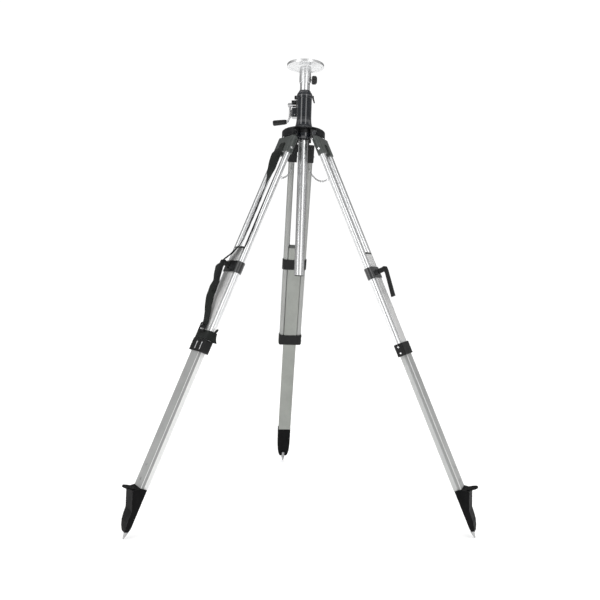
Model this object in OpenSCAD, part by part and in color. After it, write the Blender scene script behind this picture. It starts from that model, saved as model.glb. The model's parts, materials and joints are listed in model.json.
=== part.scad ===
// Elevating tripod: a crank-raised column on three double-rail legs that fold and extend.
// Millimetres and degrees. +Z is up, the ground is at zero and the column stands on the Z axis.

/* [Stance] */
// Height of the leg hinges above the ground
hinge_z = 1511; // [1400:1:1620]
// Radius of the circle that the leg hinges lie on
hinge_r = 63; // [61:1:70]
// Lean of the left leg from upright
left_tilt = 24; // [16:0.1:25]
// Lean of the right leg from upright
right_tilt = 24.8; // [16:0.1:25]
// Lean of the rear leg from upright
rear_tilt = 19.6; // [16:0.1:25]

/* [Column] */
// Outside diameter of the rising column
column_d = 40; // [36:0.5:42]
// Wall of the rising column
column_wall = 2.5; // [1.5:0.5:4]
// Length of the rising column
column_len = 830; // [700:1:860]
// Bare column between the guide cap and the plate socket
column_show = 32; // [24:1:60]

/* [Plate] */
// Diameter of the instrument plate
plate_d = 150; // [120:1:170]
// Thickness of the instrument plate
plate_t = 12; // [8:0.5:16]
// Height of the socket under the plate
socket_h = 62; // [56:1:80]
// Wall of the socket
socket_wall = 3.4; // [3:0.1:6]
// Diameter of the mounting stud, five eighths of an inch
stud_d = 15.875; // [12:0.005:20]
// Height of the mounting stud above the plate
stud_h = 16; // [10:0.5:20]
// Diameter of the socket's clamp knob
knob_d = 34; // [26:1:38]
// Length of the socket's clamp knob
knob_len = 22; // [16:1:28]

/* [Housing] */
// Wall of the gear housing tube
tube_wall = 3; // [2.5:0.5:5]
// Height of the housing tube above its flare
tube_h = 76; // [70:1:90]
// Height of the flare at the foot of the tube
flare_h = 44; // [34:1:50]
// Spread of the flare beyond the tube
flare_w = 13; // [9:0.5:16]
// Height of the guide cap
cap_h = 32; // [28:1:40]
// Stand-out of the guide cap beyond the tube
cap_out = 3.5; // [2:0.5:5]

/* [Dome] */
// Reach of the dome rim beyond the hinge circle
dome_over = 25; // [23:0.5:30]
// Wall of the dome
dome_wall = 4; // [3:0.5:5]
// Height of the dome's top above the hinges
hub_rise = 28; // [26:0.5:34]
// Fall of the dome from its top to its rim
dome_fall = 18; // [12:0.5:22]
// Depth of the rim below the hinges
rim_below = 12; // [4:0.5:12]
// Radius of the scallops between the legs
scallop_r = 54; // [46:1:56]
// Centre of the scallops beyond the dome rim
scallop_out = 12; // [12:0.5:20]

/* [Gears] */
// Module of the rack and pinion
gear_module = 2; // [1.75:0.05:2.2]
// Teeth of the pinion
pinion_teeth = 10; // [10:1:11]
// Width of the pinion
pinion_w = 12; // [8:0.5:14]
// Width of the rack
rack_w = 10; // [6:0.5:12]
// Direction that the crank shaft points
crank_az = 168; // [150:1:190]
// Diameter of the crank shaft
shaft_d = 12; // [10:0.5:13]

/* [Crank] */
// Throw of the crank
crank_throw = 68; // [60:1:76]
// Diameter of the crank rod
rod_d = 8; // [6:0.5:9]
// Diameter of the crank grip
grip_d = 23; // [18:0.5:24]
// Length of the crank grip
grip_len = 57; // [45:1:62]

/* [Rails] */
// Diameter of a leg rail
rail_d = 25.4; // [23:0.1:27]
// Wall of a leg rail
rail_wall = 1.6; // [1:0.1:3]
// Distance between the two rails of a leg
rail_pitch = 76; // [72:0.5:80]
// Length of a rail
rail_len = 901; // [880:1:920]

/* [Inner leg] */
// How far each side of the inner leg stands in from its rail's centre
groove_inset = 9; // [8:0.5:10.5]
// Thickness of the inner leg
inner_t = 29; // [28:0.5:31]
// Wall of the inner leg
inner_wall = 2; // [1.5:0.1:2.5]
// Length of the inner leg above its shoe
inner_len = 942; // [900:1:960]

/* [Collars] */
// Height of the sliding clamp collar
clamp_h = 46; // [40:1:52]
// Top of the inner leg above the clamp collar
clamp_drop = 54; // [40:1:70]
// Height of the collar at the foot of the rails
lower_h = 48; // [40:1:56]
// Wall of both collars
collar_wall = 2.5; // [2.5:0.1:4]
// Length of the clamp lever's arm
lever_len = 112; // [80:1:120]

/* [Foot] */
// Shoe top to the point
foot_len = 182; // [160:1:200]
// Reach of the step plate from the leg's middle
step_reach = 69; // [58:1:74]
// Diameter of the steel point
point_d = 16; // [12:0.5:18]

/* [Strap] */
// Width of the webbing
strap_w = 38; // [30:1:42]
// Thickness of the webbing
strap_t = 2; // [1.5:0.1:2.5]

/* [Chain] */
// Wire of a chain link
wire_d = 2.2; // [1.6:0.1:2.6]
// Inside length of a chain link
link_len = 11; // [10:0.5:13]

/* [Hidden] */
$fn = 64;

// Clearances: running fit, seated fit, sliding clearance, gap of faces that stay apart, and overrun of cuts
run_fit = 0.05;
fit_gap = 0.3;
seat_fit = 0.05;
slide_fit = 0.35;
over = 1;

// Leg name, direction and lean
rear_leg = ["rear", 90, rear_tilt];
left_leg = ["left", 210, left_tilt];
right_leg = ["right", 330, right_tilt];
legs = [rear_leg, left_leg, right_leg];
sides = [-1, 1];

// Gears
gear_pitch = gear_module * PI;
pinion_r = gear_module * pinion_teeth / 2;
addendum_share = 0.8;
dedendum_share = 1.05;
addendum = gear_module * addendum_share;
dedendum = gear_module * dedendum_share;
tooth_share = 0.21;
tooth_half = gear_pitch * tooth_share;
flank_tilt = 20;
rack_base = 1.9;
rack_gap = 1.2;
rack_room = 0.4;

// Column, housing and cap sizes
column_r = column_d / 2;
rack_pitch_y = column_r + rack_base + dedendum;
rack_tip_y = rack_pitch_y + addendum;
bore_r = rack_tip_y + rack_gap;
tube_r = bore_r + tube_wall;
cap_r = tube_r + cap_out;
roof_in_r = tube_r + flare_w;
hub_r = tube_r + (roof_in_r - tube_r) / 2;
dome_r = hinge_r + dome_over;

// Heights
hub_top_z = hinge_z + hub_rise;
rim_top_z = hub_top_z - dome_fall;
rim_low_z = hinge_z - rim_below;
hub_h = 22;
hub_low_z = hub_top_z - hub_h;
nut_h = 22;
tube_low_z = hub_low_z - nut_h;
seam_z = hub_top_z + flare_h + tube_h;
cap_top_z = seam_z + cap_h;
socket_z = cap_top_z + column_show;
plate_z = socket_z + socket_h;
stud_head_h = 10;
column_top_z = plate_z - stud_head_h - over;
column_low_z = column_top_z - column_len;
pinion_drop = 15.5;
pinion_z = seam_z - pinion_drop;

// Hub nut and bushes
nut_r = hub_r + over;
nut_taper_r = 31.5;
nut_taper_h = 9;
nut_slot_w = 7;
nut_slot_d = 3;
nut_slots = 6;
bush_h = 28;
bush_lip_h = 3.5;
cap_bush_r = 24.5;
cap_bush_h = 16;
cap_bush_in = 7;
cap_lip = 2.5;
cap_bore_gap = 0.6;
cap_shares = [[1, 0.22], [0.985, 0.38], [0.9, 0.62], [0.77, 0.81]];
cap_slot_w = pinion_w + rack_room * 2;

// Gear case, in the gear frame: X along the shaft, minus Y behind the column
pinion_y = rack_pitch_y + pinion_r;
pinion_tip_r = pinion_r + addendum;
pinion_root_r = pinion_r - dedendum;
shaft_r = shaft_d / 2;
case_wall = 5;
pinion_room = 1.2;
case_back_y = pinion_y + pinion_tip_r + pinion_room + case_wall;
case_front_y = 9;
case_far_x = pinion_w / 2 + pinion_room + 2 * case_wall;
case_near_x = 37;
case_half_h = pinion_tip_r + pinion_room + case_wall;
case_top_h = pinion_drop - fit_gap;
case_round = 6;
base_near_x = 54;
base_back_y = 46;
base_h = 37;
cover_t = 3;
cover_edge = 5;
cover_sink = 1.5;
screw_r = 3;
screw_head_h = 2;
shaft_bush_r = 9.5;
shaft_bush_len = 12;
shaft_flange_r = 11.5;
shaft_flange_t = 2;
brake_r = 7;
brake_len = 17;
brake_stem_r = 3;
brake_stem_len = 8;
brake_y = 16;
brake_z = 8;

// Crank
hub_start_x = case_near_x + shaft_flange_t + fit_gap;
crank_hub_r = 9;
crank_hub_len = 33;
hub_nose = 3;
rod_r = rod_d / 2;
arm_x = hub_start_x + crank_hub_len - crank_hub_r;
arm_elbow_share = 0.74;
grip_start = 8;
grip_droop = 6;
grip_neck_r = 8.5;
grip_r = grip_d / 2;
grip_cap = 5;
grip_taper = 1.2;
grip_ribs = 5;
grip_rib_w = 3;
grip_rib_d = 0.8;
grip_rib_share = 0.7;

// Cap clamp
lug_h = 14;
lug_z = 10;
lug_half_w = 14;
lug_bolt_r = 4;
lock_nut_r = 8;
lug_bolt_y = cap_r + lock_nut_r - over;
lug_back_y = lug_bolt_y + 2 * lug_bolt_r;
lock_nut_len = 32;
lock_hub_r = 7;
lock_hub_len = 19;
lock_arm_len = 22;
lock_arm_w = 9;
lock_arm_t = 6;
lock_arm_lean = 6;

// Plate, socket and knob
socket_r = column_r + run_fit + socket_wall;
knob_az = -5;
slit_az = -95;
slit_w = 2.4;
slit_top = 14;
ring_groove = 1;
ring_groove_h = 2;
plate_chamfer = 1.5;
plate_recess = 3;
plate_recess_in = 30;
plate_recess_edge = 9;
stud_head_r = 12;
stud_relief = 1;
stud_shoulder_r = stud_d / 2 + stud_relief;
knob_drop = 13;
knob_screw_r = 4;
knob_neck = 3;
knob_lobes = 8;
knob_lobe_r = 5;
knob_crown = 4;

// Hinges and yokes, t runs down the leg from its hinge
rail_r = rail_d / 2;
lug_w = 36;
ear_w = 13;
ear_r = 11;
ear_out = 6;
ear_y = lug_w / 2 + fit_gap;
bolt_r = 5;
bolt_head_r = 8.5;
bolt_head_h = 5;
bolt_half = ear_y + ear_w;
nut_gap = 2;
lug_in_r = nut_r + nut_gap;
yoke_wall = 4.3;
yoke_r = rail_r + yoke_wall;
yoke_half_t = rail_r + yoke_wall / 2;
yoke_top = 24;
socket_depth = 55;
yoke_notch = 28;
socket_roof = 16;
yoke_end = yoke_top + socket_roof + socket_depth;
notch_half_w = rail_pitch / 2 - yoke_r - yoke_wall;
rail_top = yoke_end - socket_depth;
rail_end = rail_top + rail_len;
rivet_r = 5;
rivet_h = 2.5;
rivet_t = 73;

// Collars, clamp and lever
collar_floor = 4;
lower_end = rail_end + collar_floor;
lower_top = lower_end - lower_h;
collar_half_t = inner_t / 2 + collar_wall;
lower_half_w = rail_pitch / 2 + rail_r + collar_wall;
lower_round = 8;
clamp_half_w = rail_pitch / 2 + rail_r + collar_wall + over;
clamp_mid_share = 0.5;
boss_r = 13;
boss_len = 6;
boss_out = collar_half_t + boss_len;
lever_hub_r = 10;
lever_out = 60;
lever_in = 46;
lever_w = 15;
lever_t = 14;
lever_lean = 12;
lever_bolt_r = 5;
collar_screw_r = 4.5;
collar_screw_shares = [0.25, 0.75];

// Inner leg and foot
inner_w = rail_pitch - 2 * groove_inset;
groove_r = rail_r + slide_fit;
inner_in_w = rail_pitch - 2 * groove_r - 2 * inner_wall;
cap_t = 8;
plug_h = 14;
shoe_wall = 1.5;
shoe_tongue = 95;
shoe_back = inner_t / 2;
shoe_half_w = inner_w / 2 + shoe_wall;
shoe_len = 160;
shoe_reach = 40;
shoe_round = 8;
shoe_side_shares = [[1, 0.1], [0.31, 0.51], [0.28, 0.65], [0.23, 0.78], [0.09, 0.91], [-0.06, 1]];
shoe_heel_share = 0.97;
shoe_front_shares = [[1, 0], [1, 0.5], [0.96, 0.66], [0.9, 0.78], [0.74, 0.9], [0.52, 0.98], [0.4, 1]];
shoe_screw_rises = [28, 78];
shoe_screw_r = 5;
shoe_screw_h = 2.2;
step_w = 46;
step_t = 5;
step_z = 5;
step_tilt = 7;
step_ribs = 4;
step_rib_h = 1.4;
step_rib_w = 3;
tip_x = -14;
tip_r = 2.5;
point_seat = 26;
point_shank_r = 6;

// Strap, along the left leg's outer side
strap_from = 58;
strap_stop = 44;
strap_to = lower_top - strap_stop;
strap_lift = 6;
strap_stand = lever_in - strap_lift;
strap_seat = (yoke_half_t + fit_gap + strap_t / 2) / strap_stand;
strap_tail = 24.5;
strap_turn = 32;
strap_over = (inner_t / 2 + strap_w / 2 * sin(strap_turn) + strap_t + fit_gap) / strap_stand;
// Share of the way from the yoke to the clamp, then on to the tail and its end; stand-off, side and turn
strap_shares = [
    [0, strap_seat, 0, 0], [0.03, strap_seat, 0, 0], [0.068, 0.6, 0.1, -15], [0.128, 0.7, 0.28, -40],
    [0.226, 0.62, 0.37, -20], [0.323, 0.5, 0.37, 20], [0.451, 0.5, 0.5, strap_turn],
    [0.646, strap_over, 0.9, strap_turn], [0.752, strap_over, 0.88, 30], [0.82, strap_over, 0.8, 22],
    [0.892, 0.74, 0.15, 28], [0.945, 0.9, -0.4, 26], [0.975, 1.02, -0.76, 22], [1, 1.12, -0.84, 18],
    [1.065, 1.26, -0.86, 8], [1.164, 1.1, -0.82, -4], [1.302, 0.86, -0.71, -12], [1.443, 0.9, -0.63, -20],
    [1.639, 0.88, -0.42, -20], [1.836, 0.68, -0.16, -10], [2, 0.52, 0, 0], [3, 0.52, 0, 0]];
band_rise = 36;
band_t = lower_top - band_rise;
band_gap = 0.5;
band_h = band_rise - band_gap;
band_slack = 9;
band_in_r = inner_t / 2 + band_gap;
buckle_side = 4;
buckle_w = strap_w + 2 * buckle_side;
buckle_h = 34;
buckle_t = 4;
buckle_slot = 6;
buckle_bar = 5;
buckle_t0 = strap_to - buckle_h / 2;

// Chains between the legs and the eyes that hold them
eye_r = 5;
eye_wire = 2.6;
eye_gap = 0.2;
eye_t_front = 197;
eye_t_rear = 126;
chain_steps = 40;
chain_sags = [10, 22];
link_bend = wire_d * 1.25;
link_half = link_len / 2 - wire_d;
link_pitch = 2 * (link_half + link_bend) - 1.25 * wire_d;

leg_pieces = ["hinge_yoke", "rails", "lower_collar", "leg_fixings", "inner_tube", "inner_cap",
    "clamp_collar", "clamp_lever", "foot", "foot_hardware"];

black = [0.05, 0.055, 0.06];
blue_black = [0.07, 0.08, 0.11];
casting = [0.24, 0.25, 0.25];
silver = [0.82, 0.83, 0.84];
steel = [0.66, 0.67, 0.68];
grey = [0.6, 0.61, 0.6];
webbing = [0.16, 0.18, 0.17];
bronze = [0.62, 0.5, 0.3];

// Distance from the hinge to the point's centre, so that every point stands on the ground
function reach(leg) = (hinge_z - tip_r + tip_x * sin(leg[2])) / cos(leg[2]);
function shoe_t(leg) = reach(leg) - foot_len;
function inner_top(leg) = shoe_t(leg) - inner_len;
function clamp_top(leg) = inner_top(leg) + clamp_drop;
function clamp_mid(leg) = clamp_top(leg) + clamp_h * clamp_mid_share;

// World place of a point on a leg: x outward, y along the hinge, t down the leg
function leg_point(leg, x, y, t) = let (
    r = hinge_r + t * sin(leg[2]) + x * cos(leg[2]),
    z = hinge_z - t * cos(leg[2]) + x * sin(leg[2]))
    [r * cos(leg[1]) - y * sin(leg[1]), r * sin(leg[1]) + y * cos(leg[1]), z];

module on_leg(leg)
    rotate([0, 0, leg[1]]) translate([hinge_r, 0, hinge_z]) rotate([0, -leg[2], 0]) children();

module on_gear()
    translate([0, 0, pinion_z]) rotate([0, 0, crank_az]) children();

// Extrudes a plan along the leg between two stations
module bar(from, to)
    translate([0, 0, -to]) linear_extrude(to - from) children();

// Bar along the hinge direction, from a plan drawn in X and Z
module across(y0, y1)
    translate([0, y1, 0]) rotate([90, 0, 0]) linear_extrude(y1 - y0) children();

// Round bar along X
module x_rod(x0, x1, r)
    translate([x0, 0, 0]) rotate([0, 90, 0]) cylinder(r = r, h = x1 - x0);

// Round rod between two points
module rod(a, b, r) {
    d = b - a;
    translate(a) rotate([0, acos(d[2] / norm(d)), atan2(d[1], d[0])]) cylinder(r = r, h = norm(d));
}

// Rectangle with round corners, between two corners
module slab(x0, x1, y0, y1, r) {
    translate([x0 + r, y0]) square([x1 - x0 - 2 * r, y1 - y0]);
    translate([x0, y0 + r]) square([x1 - x0, y1 - y0 - 2 * r]);
    for (x = [x0 + r, x1 - r]) for (y = [y0 + r, y1 - r]) translate([x, y]) circle(r = r);
}

// Plan of two rounds joined by a flat web
module stadium(r, half_t) {
    for (s = sides) translate([0, s * rail_pitch / 2]) circle(r = r);
    square([2 * half_t, rail_pitch], center = true);
}

module rail_rounds(r)
    for (s = sides) translate([0, s * rail_pitch / 2]) circle(r = r);

// Casting that carries the three leg hinges

module dome_fill()
    rotate_extrude() polygon([[0, rim_low_z - ear_r], [dome_r - dome_wall, rim_low_z - ear_r],
        [dome_r - dome_wall, rim_top_z - dome_wall], [roof_in_r, hub_top_z - dome_wall / 2],
        [0, hub_top_z - dome_wall / 2]]);

module dome_shell() {
    arc = [for (a = [0 : 15 : 90]) a];
    roof = [for (a = arc) [roof_in_r + (dome_r - roof_in_r) * sin(a), rim_top_z + dome_fall * cos(a)]];
    vault = [for (a = arc) [roof_in_r + (dome_r - dome_wall - roof_in_r) * sin(90 - a),
        rim_top_z - dome_wall + dome_fall * cos(90 - a)]];
    rotate_extrude() polygon(concat([[tube_r + seat_fit, hub_low_z], [tube_r + seat_fit, hub_top_z]], roof,
        [[dome_r, rim_low_z], [dome_r - dome_wall, rim_low_z]], vault, [[hub_r, hub_top_z - dome_wall],
        [hub_r, hub_low_z]]));
}

module hinge_lug(leg) {
    lug_low = hinge_z - ear_r;
    rotate([0, 0, leg[1]]) across(-lug_w / 2, lug_w / 2) {
        translate([hinge_r, hinge_z]) circle(r = ear_r);
        translate([lug_in_r, lug_low]) square([hinge_r - lug_in_r, hub_top_z - lug_low]);
        translate([lug_in_r, hinge_z]) square([hinge_r + ear_r - lug_in_r, hub_top_z - hinge_z]);
    }
}

module dome_casting() color(black) difference() {
    union() {
        difference() {
            dome_shell();
            // Scallops between the legs, milled from above
            for (leg = legs) rotate([0, 0, leg[1] + 60])
                translate([dome_r + scallop_out, 0, rim_low_z - over])
                    cylinder(r = scallop_r, h = hub_top_z - rim_low_z + 2 * over);
        }
        intersection() {
            dome_fill();
            for (leg = legs) hinge_lug(leg);
        }
    }
    // Hinge bores, reamed across each lug
    for (leg = legs) rotate([0, 0, leg[1]]) translate([hinge_r, 0, hinge_z]) rotate([90, 0, 0])
        cylinder(r = bolt_r + run_fit, h = lug_w + 2 * over, center = true);
}

module hinge_bolts() color(black) for (leg = legs)
    rotate([0, 0, leg[1]]) translate([hinge_r, 0, hinge_z]) {
        rotate([90, 0, 0]) cylinder(r = bolt_r, h = 2 * bolt_half + bolt_head_h, center = true);
        translate([0, -bolt_half - fit_gap, 0]) rotate([90, 0, 0])
            cylinder(r = bolt_head_r, h = bolt_head_h, $fn = 6);
        translate([0, bolt_half + fit_gap, 0]) rotate([-90, 0, 0]) difference() {
            cylinder(r = bolt_head_r, h = bolt_head_h, $fn = 6);
            // Tapped hole of the nut
            translate([0, 0, -over]) cylinder(r = bolt_r + seat_fit, h = bolt_head_h + 2 * over);
        }
    }

module hub_nut() color(black) translate([0, 0, tube_low_z]) difference() {
    rotate_extrude() polygon([[tube_r + seat_fit, 0], [nut_taper_r, 0], [nut_r, nut_taper_h],
        [nut_r, nut_h], [tube_r + seat_fit, nut_h]]);
    // Spanner slots, milled down the nut's side
    for (k = [1 : nut_slots]) rotate([0, 0, k * 360 / nut_slots])
        translate([nut_r - nut_slot_d, -nut_slot_w / 2, -over])
            cube([nut_slot_d + over, nut_slot_w, nut_h - over]);
}

// Gear housing and what is fixed to it

module gear_case() {
    translate([0, 0, -case_half_h]) linear_extrude(case_half_h + case_top_h)
        slab(-case_far_x, case_near_x, -case_back_y, -case_front_y, case_round);
    translate([0, 0, -case_half_h - base_h + over]) linear_extrude(base_h)
        slab(-case_far_x, base_near_x, -base_back_y, -case_front_y, case_round);
}

module housing_tube() {
    flare = [for (a = [0 : 15 : 90])
        [tube_r + flare_w * (1 - sin(a)), hub_top_z + flare_h * (1 - cos(a))]];
    rotate_extrude() polygon(concat([[0, tube_low_z], [tube_r, tube_low_z], [tube_r, hub_top_z]], flare,
        [[tube_r, seam_z], [0, seam_z]]));
}

module gear_housing() color(blue_black) difference() {
    union() {
        housing_tube();
        on_gear() gear_case();
    }
    // Main bore, turned right through
    translate([0, 0, tube_low_z - over]) cylinder(r = bore_r, h = seam_z - tube_low_z + 2 * over);
    on_gear() translate([0, -pinion_y, 0]) {
        // Pinion pocket, milled through to the bore
        x_rod(-pinion_w / 2 - pinion_room, pinion_w / 2 + pinion_room, pinion_tip_r + pinion_room);
        // Shaft bore, reamed from the far side
        x_rod(-case_far_x - over, case_near_x, shaft_r + run_fit);
        // Seat of the shaft bush, bored from the crank side
        x_rod(case_near_x - shaft_bush_len, case_near_x + over, shaft_bush_r + seat_fit);
    }
    // Hole for the brake stem, drilled from the crank side
    on_gear() translate([0, -brake_y, brake_z])
        x_rod(case_near_x - brake_stem_len - over, case_near_x + over, brake_stem_r + run_fit);
    // Recess for the cover, milled into the base's end
    on_gear() cover_plate(base_near_x - cover_sink, base_near_x + over, seat_fit);
}

module cover_plate(x0, x1, gap)
    translate([x0, 0, 0]) rotate([90, 0, 90]) linear_extrude(x1 - x0)
        slab(-base_back_y + cover_edge - gap, -case_front_y - cover_edge + gap,
            -case_half_h - base_h + cover_edge - gap, -case_half_h - cover_edge + gap, case_round / 2);

module gearbox_cover() color(black) on_gear()
    cover_plate(base_near_x - cover_sink, base_near_x + cover_t - cover_sink, 0);

module gearbox_screws() color(silver) on_gear() {
    translate([case_near_x + screw_r, -case_front_y, -case_half_h - base_h + 2 * cover_edge])
        rotate([-90, 0, 0])
        cylinder(r1 = screw_r, r2 = screw_r - screw_head_h / 2, h = screw_head_h);
    for (y = [-base_back_y + 2 * cover_edge, -case_front_y - 2 * cover_edge])
        for (z = [-case_half_h - base_h + 2 * cover_edge, -case_half_h - 2 * cover_edge])
            translate([base_near_x + cover_t - cover_sink, y, z]) rotate([0, 90, 0])
                cylinder(r1 = screw_r, r2 = screw_r - screw_head_h / 2, h = screw_head_h);
}

module shaft_bush() color(bronze) on_gear() translate([0, -pinion_y, 0]) difference() {
    union() {
        x_rod(case_near_x - shaft_bush_len, case_near_x + over, shaft_bush_r);
        x_rod(case_near_x, case_near_x + shaft_flange_t, shaft_flange_r);
    }
    // Shaft bore, reamed
    x_rod(case_near_x - shaft_bush_len - over, case_near_x + shaft_flange_t + over, shaft_r + run_fit);
}

module rack_slot(z0, z1, reach_y, w)
    rotate([0, 0, crank_az]) translate([-w / 2, -reach_y, z0]) cube([w, reach_y, z1 - z0]);

module lower_bush() color(black) difference() {
    translate([0, 0, tube_low_z]) rotate_extrude() polygon([[column_r + run_fit, -bush_lip_h],
        [tube_r, -bush_lip_h], [tube_r, 0], [bore_r - seat_fit, 0], [bore_r - seat_fit, bush_h],
        [column_r + run_fit, bush_h]]);
    // Way for the rack, broached down the bush
    rack_slot(tube_low_z - bush_lip_h - over, tube_low_z + bush_h + over, bore_r - seat_fit - over / 4,
        rack_w + 2 * rack_room);
}

module upper_bush() color(black) difference() {
    translate([0, 0, seam_z]) rotate_extrude() polygon([[column_r + run_fit, -cap_bush_in],
        [bore_r - seat_fit, -cap_bush_in], [bore_r - seat_fit, 0], [cap_bush_r, 0], [cap_bush_r, cap_bush_h],
        [column_r + run_fit, cap_bush_h]]);
    // Way for the rack, broached down the bush
    rack_slot(seam_z - cap_bush_in - over, seam_z + cap_bush_h + over, tube_r, rack_w + 2 * rack_room);
}

module guide_cap() color(blue_black) difference() {
    union() {
        translate([0, 0, seam_z]) rotate_extrude() polygon(concat([[0, fit_gap], [cap_r, fit_gap]],
            [for (p = cap_shares) [p[0] * cap_r, p[1] * cap_h]], [[column_r + cap_lip, cap_h], [0, cap_h]]));
        translate([0, 0, seam_z + lug_z]) rotate([0, 0, crank_az]) linear_extrude(lug_h)
            slab(-lug_half_w, lug_half_w, -lug_back_y, -column_r, lug_bolt_r);
    }
    // Bush seat, bored from below, and the column's clear hole above it
    translate([0, 0, seam_z - over]) cylinder(r = cap_bush_r + seat_fit, h = cap_bush_h + over);
    translate([0, 0, seam_z]) cylinder(r = column_r + cap_bore_gap, h = cap_h + over);
    // Clamp slit and way for the rack, sawn through the back
    rack_slot(seam_z - over, cap_top_z + over, lug_back_y + over, cap_slot_w);
    // Clamp bolt hole, drilled across the lugs
    at_lock_bolt() x_rod(-lug_half_w - over, lug_half_w + over, lug_bolt_r + run_fit);
}

module at_lock_bolt()
    translate([0, 0, seam_z + lug_z + lug_h / 2]) rotate([0, 0, crank_az]) translate([0, -lug_bolt_y, 0])
        children();

module lock_nut() color(black) at_lock_bolt() difference() {
    x_rod(lug_half_w, lug_half_w + lock_nut_len, lock_nut_r);
    // Tapped hole
    x_rod(lug_half_w - over, lug_half_w + lock_nut_len - lock_nut_r, lug_bolt_r + run_fit);
    // Finger flutes, milled along the knob
    for (k = [1 : nut_slots]) rotate([k * 360 / nut_slots, 0, 0])
        translate([0, lock_nut_r + lug_bolt_r / 4, 0])
        x_rod(lug_half_w + lug_bolt_r, lug_half_w + lock_nut_len + over, lug_bolt_r / 2);
}

module lock_lever() color(black) at_lock_bolt() {
    lock_end = -lug_half_w - fit_gap - lock_hub_len;
    x_rod(lock_end, -lug_half_w - fit_gap, lock_hub_r);
    x_rod(lock_end + lock_arm_t, lug_half_w + lock_nut_len - lock_nut_r - over, lug_bolt_r);
    across(-lock_arm_w / 2, lock_arm_w / 2) polygon([[lock_end, 0], [lock_end + lock_arm_t, 0],
        [lock_end + lock_arm_t - lock_arm_lean, -lock_arm_len], [lock_end - lock_arm_lean, -lock_arm_len]]);
}

module brake_knob() color(black) on_gear() translate([0, -brake_y, brake_z]) {
    difference() {
        x_rod(case_near_x + fit_gap, case_near_x + fit_gap + brake_len, brake_r);
        // Finger flutes, milled along the knob
        for (k = [1 : nut_slots]) rotate([k * 360 / nut_slots, 0, 0])
            translate([0, brake_r + brake_stem_r / 4, 0])
            x_rod(case_near_x + brake_stem_r, case_near_x + brake_len + over, brake_stem_r / 2);
    }
    x_rod(case_near_x - brake_stem_len, case_near_x + brake_len / 2, brake_stem_r);
}

// Column, rack, plate and socket

module column_tube() color(silver) difference() {
    translate([0, 0, column_low_z]) cylinder(r = column_r, h = column_len);
    // Bore of the tube
    translate([0, 0, column_low_z - over]) cylinder(r = column_r - column_wall, h = column_len + 2 * over);
}

module column_plug() color(black) translate([0, 0, column_low_z]) difference() {
    union() {
        translate([0, 0, -plug_h / 4]) cylinder(r1 = column_r - column_wall, r2 = column_r, h = plug_h / 4);
        cylinder(r = column_r - column_wall - seat_fit, h = plug_h);
    }
    // Drain hole
    translate([0, 0, -plug_h]) cylinder(r = column_wall, h = 3 * plug_h);
}

module column_rack() {
    low = column_low_z + plug_h - pinion_z;
    high = socket_z - over - pinion_z;
    first = ceil(low / gear_pitch);
    last = floor(high / gear_pitch) - 1;
    tip_half = tooth_half - addendum * tan(flank_tilt);
    root_half = tooth_half + dedendum * tan(flank_tilt);
    root_y = rack_pitch_y - dedendum;
    teeth = [for (k = [first : last]) for (p = [[-root_half, root_y], [-tip_half, rack_tip_y],
        [tip_half, rack_tip_y], [root_half, root_y]]) [p[1], (k + 0.5) * gear_pitch + p[0]]];
    color(steel) difference() {
        on_gear() rotate([0, 0, -90]) across(-rack_w / 2, rack_w / 2)
            polygon(concat([[0, first * gear_pitch], [root_y, first * gear_pitch]], teeth,
                [[root_y, (last + 1) * gear_pitch], [0, (last + 1) * gear_pitch]]));
        // Seat on the column, hollow ground
        translate([0, 0, column_low_z - over]) cylinder(r = column_r + seat_fit, h = column_len + 2 * over);
    }
}

module plate_socket() color(silver) difference() {
    translate([0, 0, socket_z]) rotate_extrude() polygon([[0, 0], [socket_r, 0],
        [socket_r, socket_h / 2 - ring_groove_h], [socket_r - ring_groove, socket_h / 2 - ring_groove_h],
        [socket_r - ring_groove, socket_h / 2], [socket_r, socket_h / 2], [socket_r, socket_h - ring_groove],
        [socket_r + socket_wall, socket_h], [0, socket_h]]);
    // Column seat, bored from below
    translate([0, 0, socket_z - over]) cylinder(r = column_r + run_fit, h = socket_h + 2 * over);
    // Clamp slit, sawn up the front
    rotate([0, 0, slit_az]) translate([0, -slit_w / 2, socket_z - over])
        cube([socket_r + socket_wall, slit_w, socket_h - slit_top + over]);
    // Knob screw hole, drilled from the side
    at_knob() x_rod(0, socket_r + over, knob_screw_r + run_fit);
}

module at_knob()
    translate([0, 0, socket_z + knob_drop]) rotate([0, 0, knob_az]) children();

module socket_knob() color(black) at_knob() difference() {
    translate([socket_r + knob_neck, 0, 0]) rotate([0, 90, 0]) rotate_extrude() polygon([[0, 0],
        [knob_d / 2 - knob_crown, 0], [knob_d / 2, knob_crown], [knob_d / 2, knob_len - 1.5 * knob_crown],
        [knob_d / 2 - knob_crown, knob_len - knob_crown / 3], [knob_d / 4, knob_len], [0, knob_len]]);
    // Finger scallops, moulded round the rim
    for (k = [1 : knob_lobes]) rotate([k * 360 / knob_lobes, 0, 0])
        translate([0, knob_d / 2 + knob_lobe_r - knob_crown / 2, 0])
            x_rod(socket_r, socket_r + knob_neck + knob_len + over, knob_lobe_r);
    // Moulded seat of the screw
    x_rod(socket_r, socket_r + knob_neck + knob_len / 2, knob_screw_r + seat_fit);
}

module knob_screw() color(steel) at_knob()
    x_rod(column_r + fit_gap, socket_r + knob_neck + knob_len / 2, knob_screw_r);

module head_plate() color(silver) translate([0, 0, plate_z]) difference() {
    rotate_extrude() polygon([[0, 0], [plate_recess_in, 0], [plate_recess_in + plate_recess, plate_recess],
        [plate_d / 2 - plate_recess_edge - plate_recess, plate_recess], [plate_d / 2 - plate_recess_edge, 0],
        [plate_d / 2 - plate_chamfer, 0], [plate_d / 2, plate_chamfer],
        [plate_d / 2, plate_t - plate_chamfer],
        [plate_d / 2 - plate_chamfer, plate_t], [0, plate_t]]);
    // Stud hole
    translate([0, 0, -over]) cylinder(r = stud_shoulder_r + seat_fit, h = plate_t + 2 * over);
}

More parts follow.
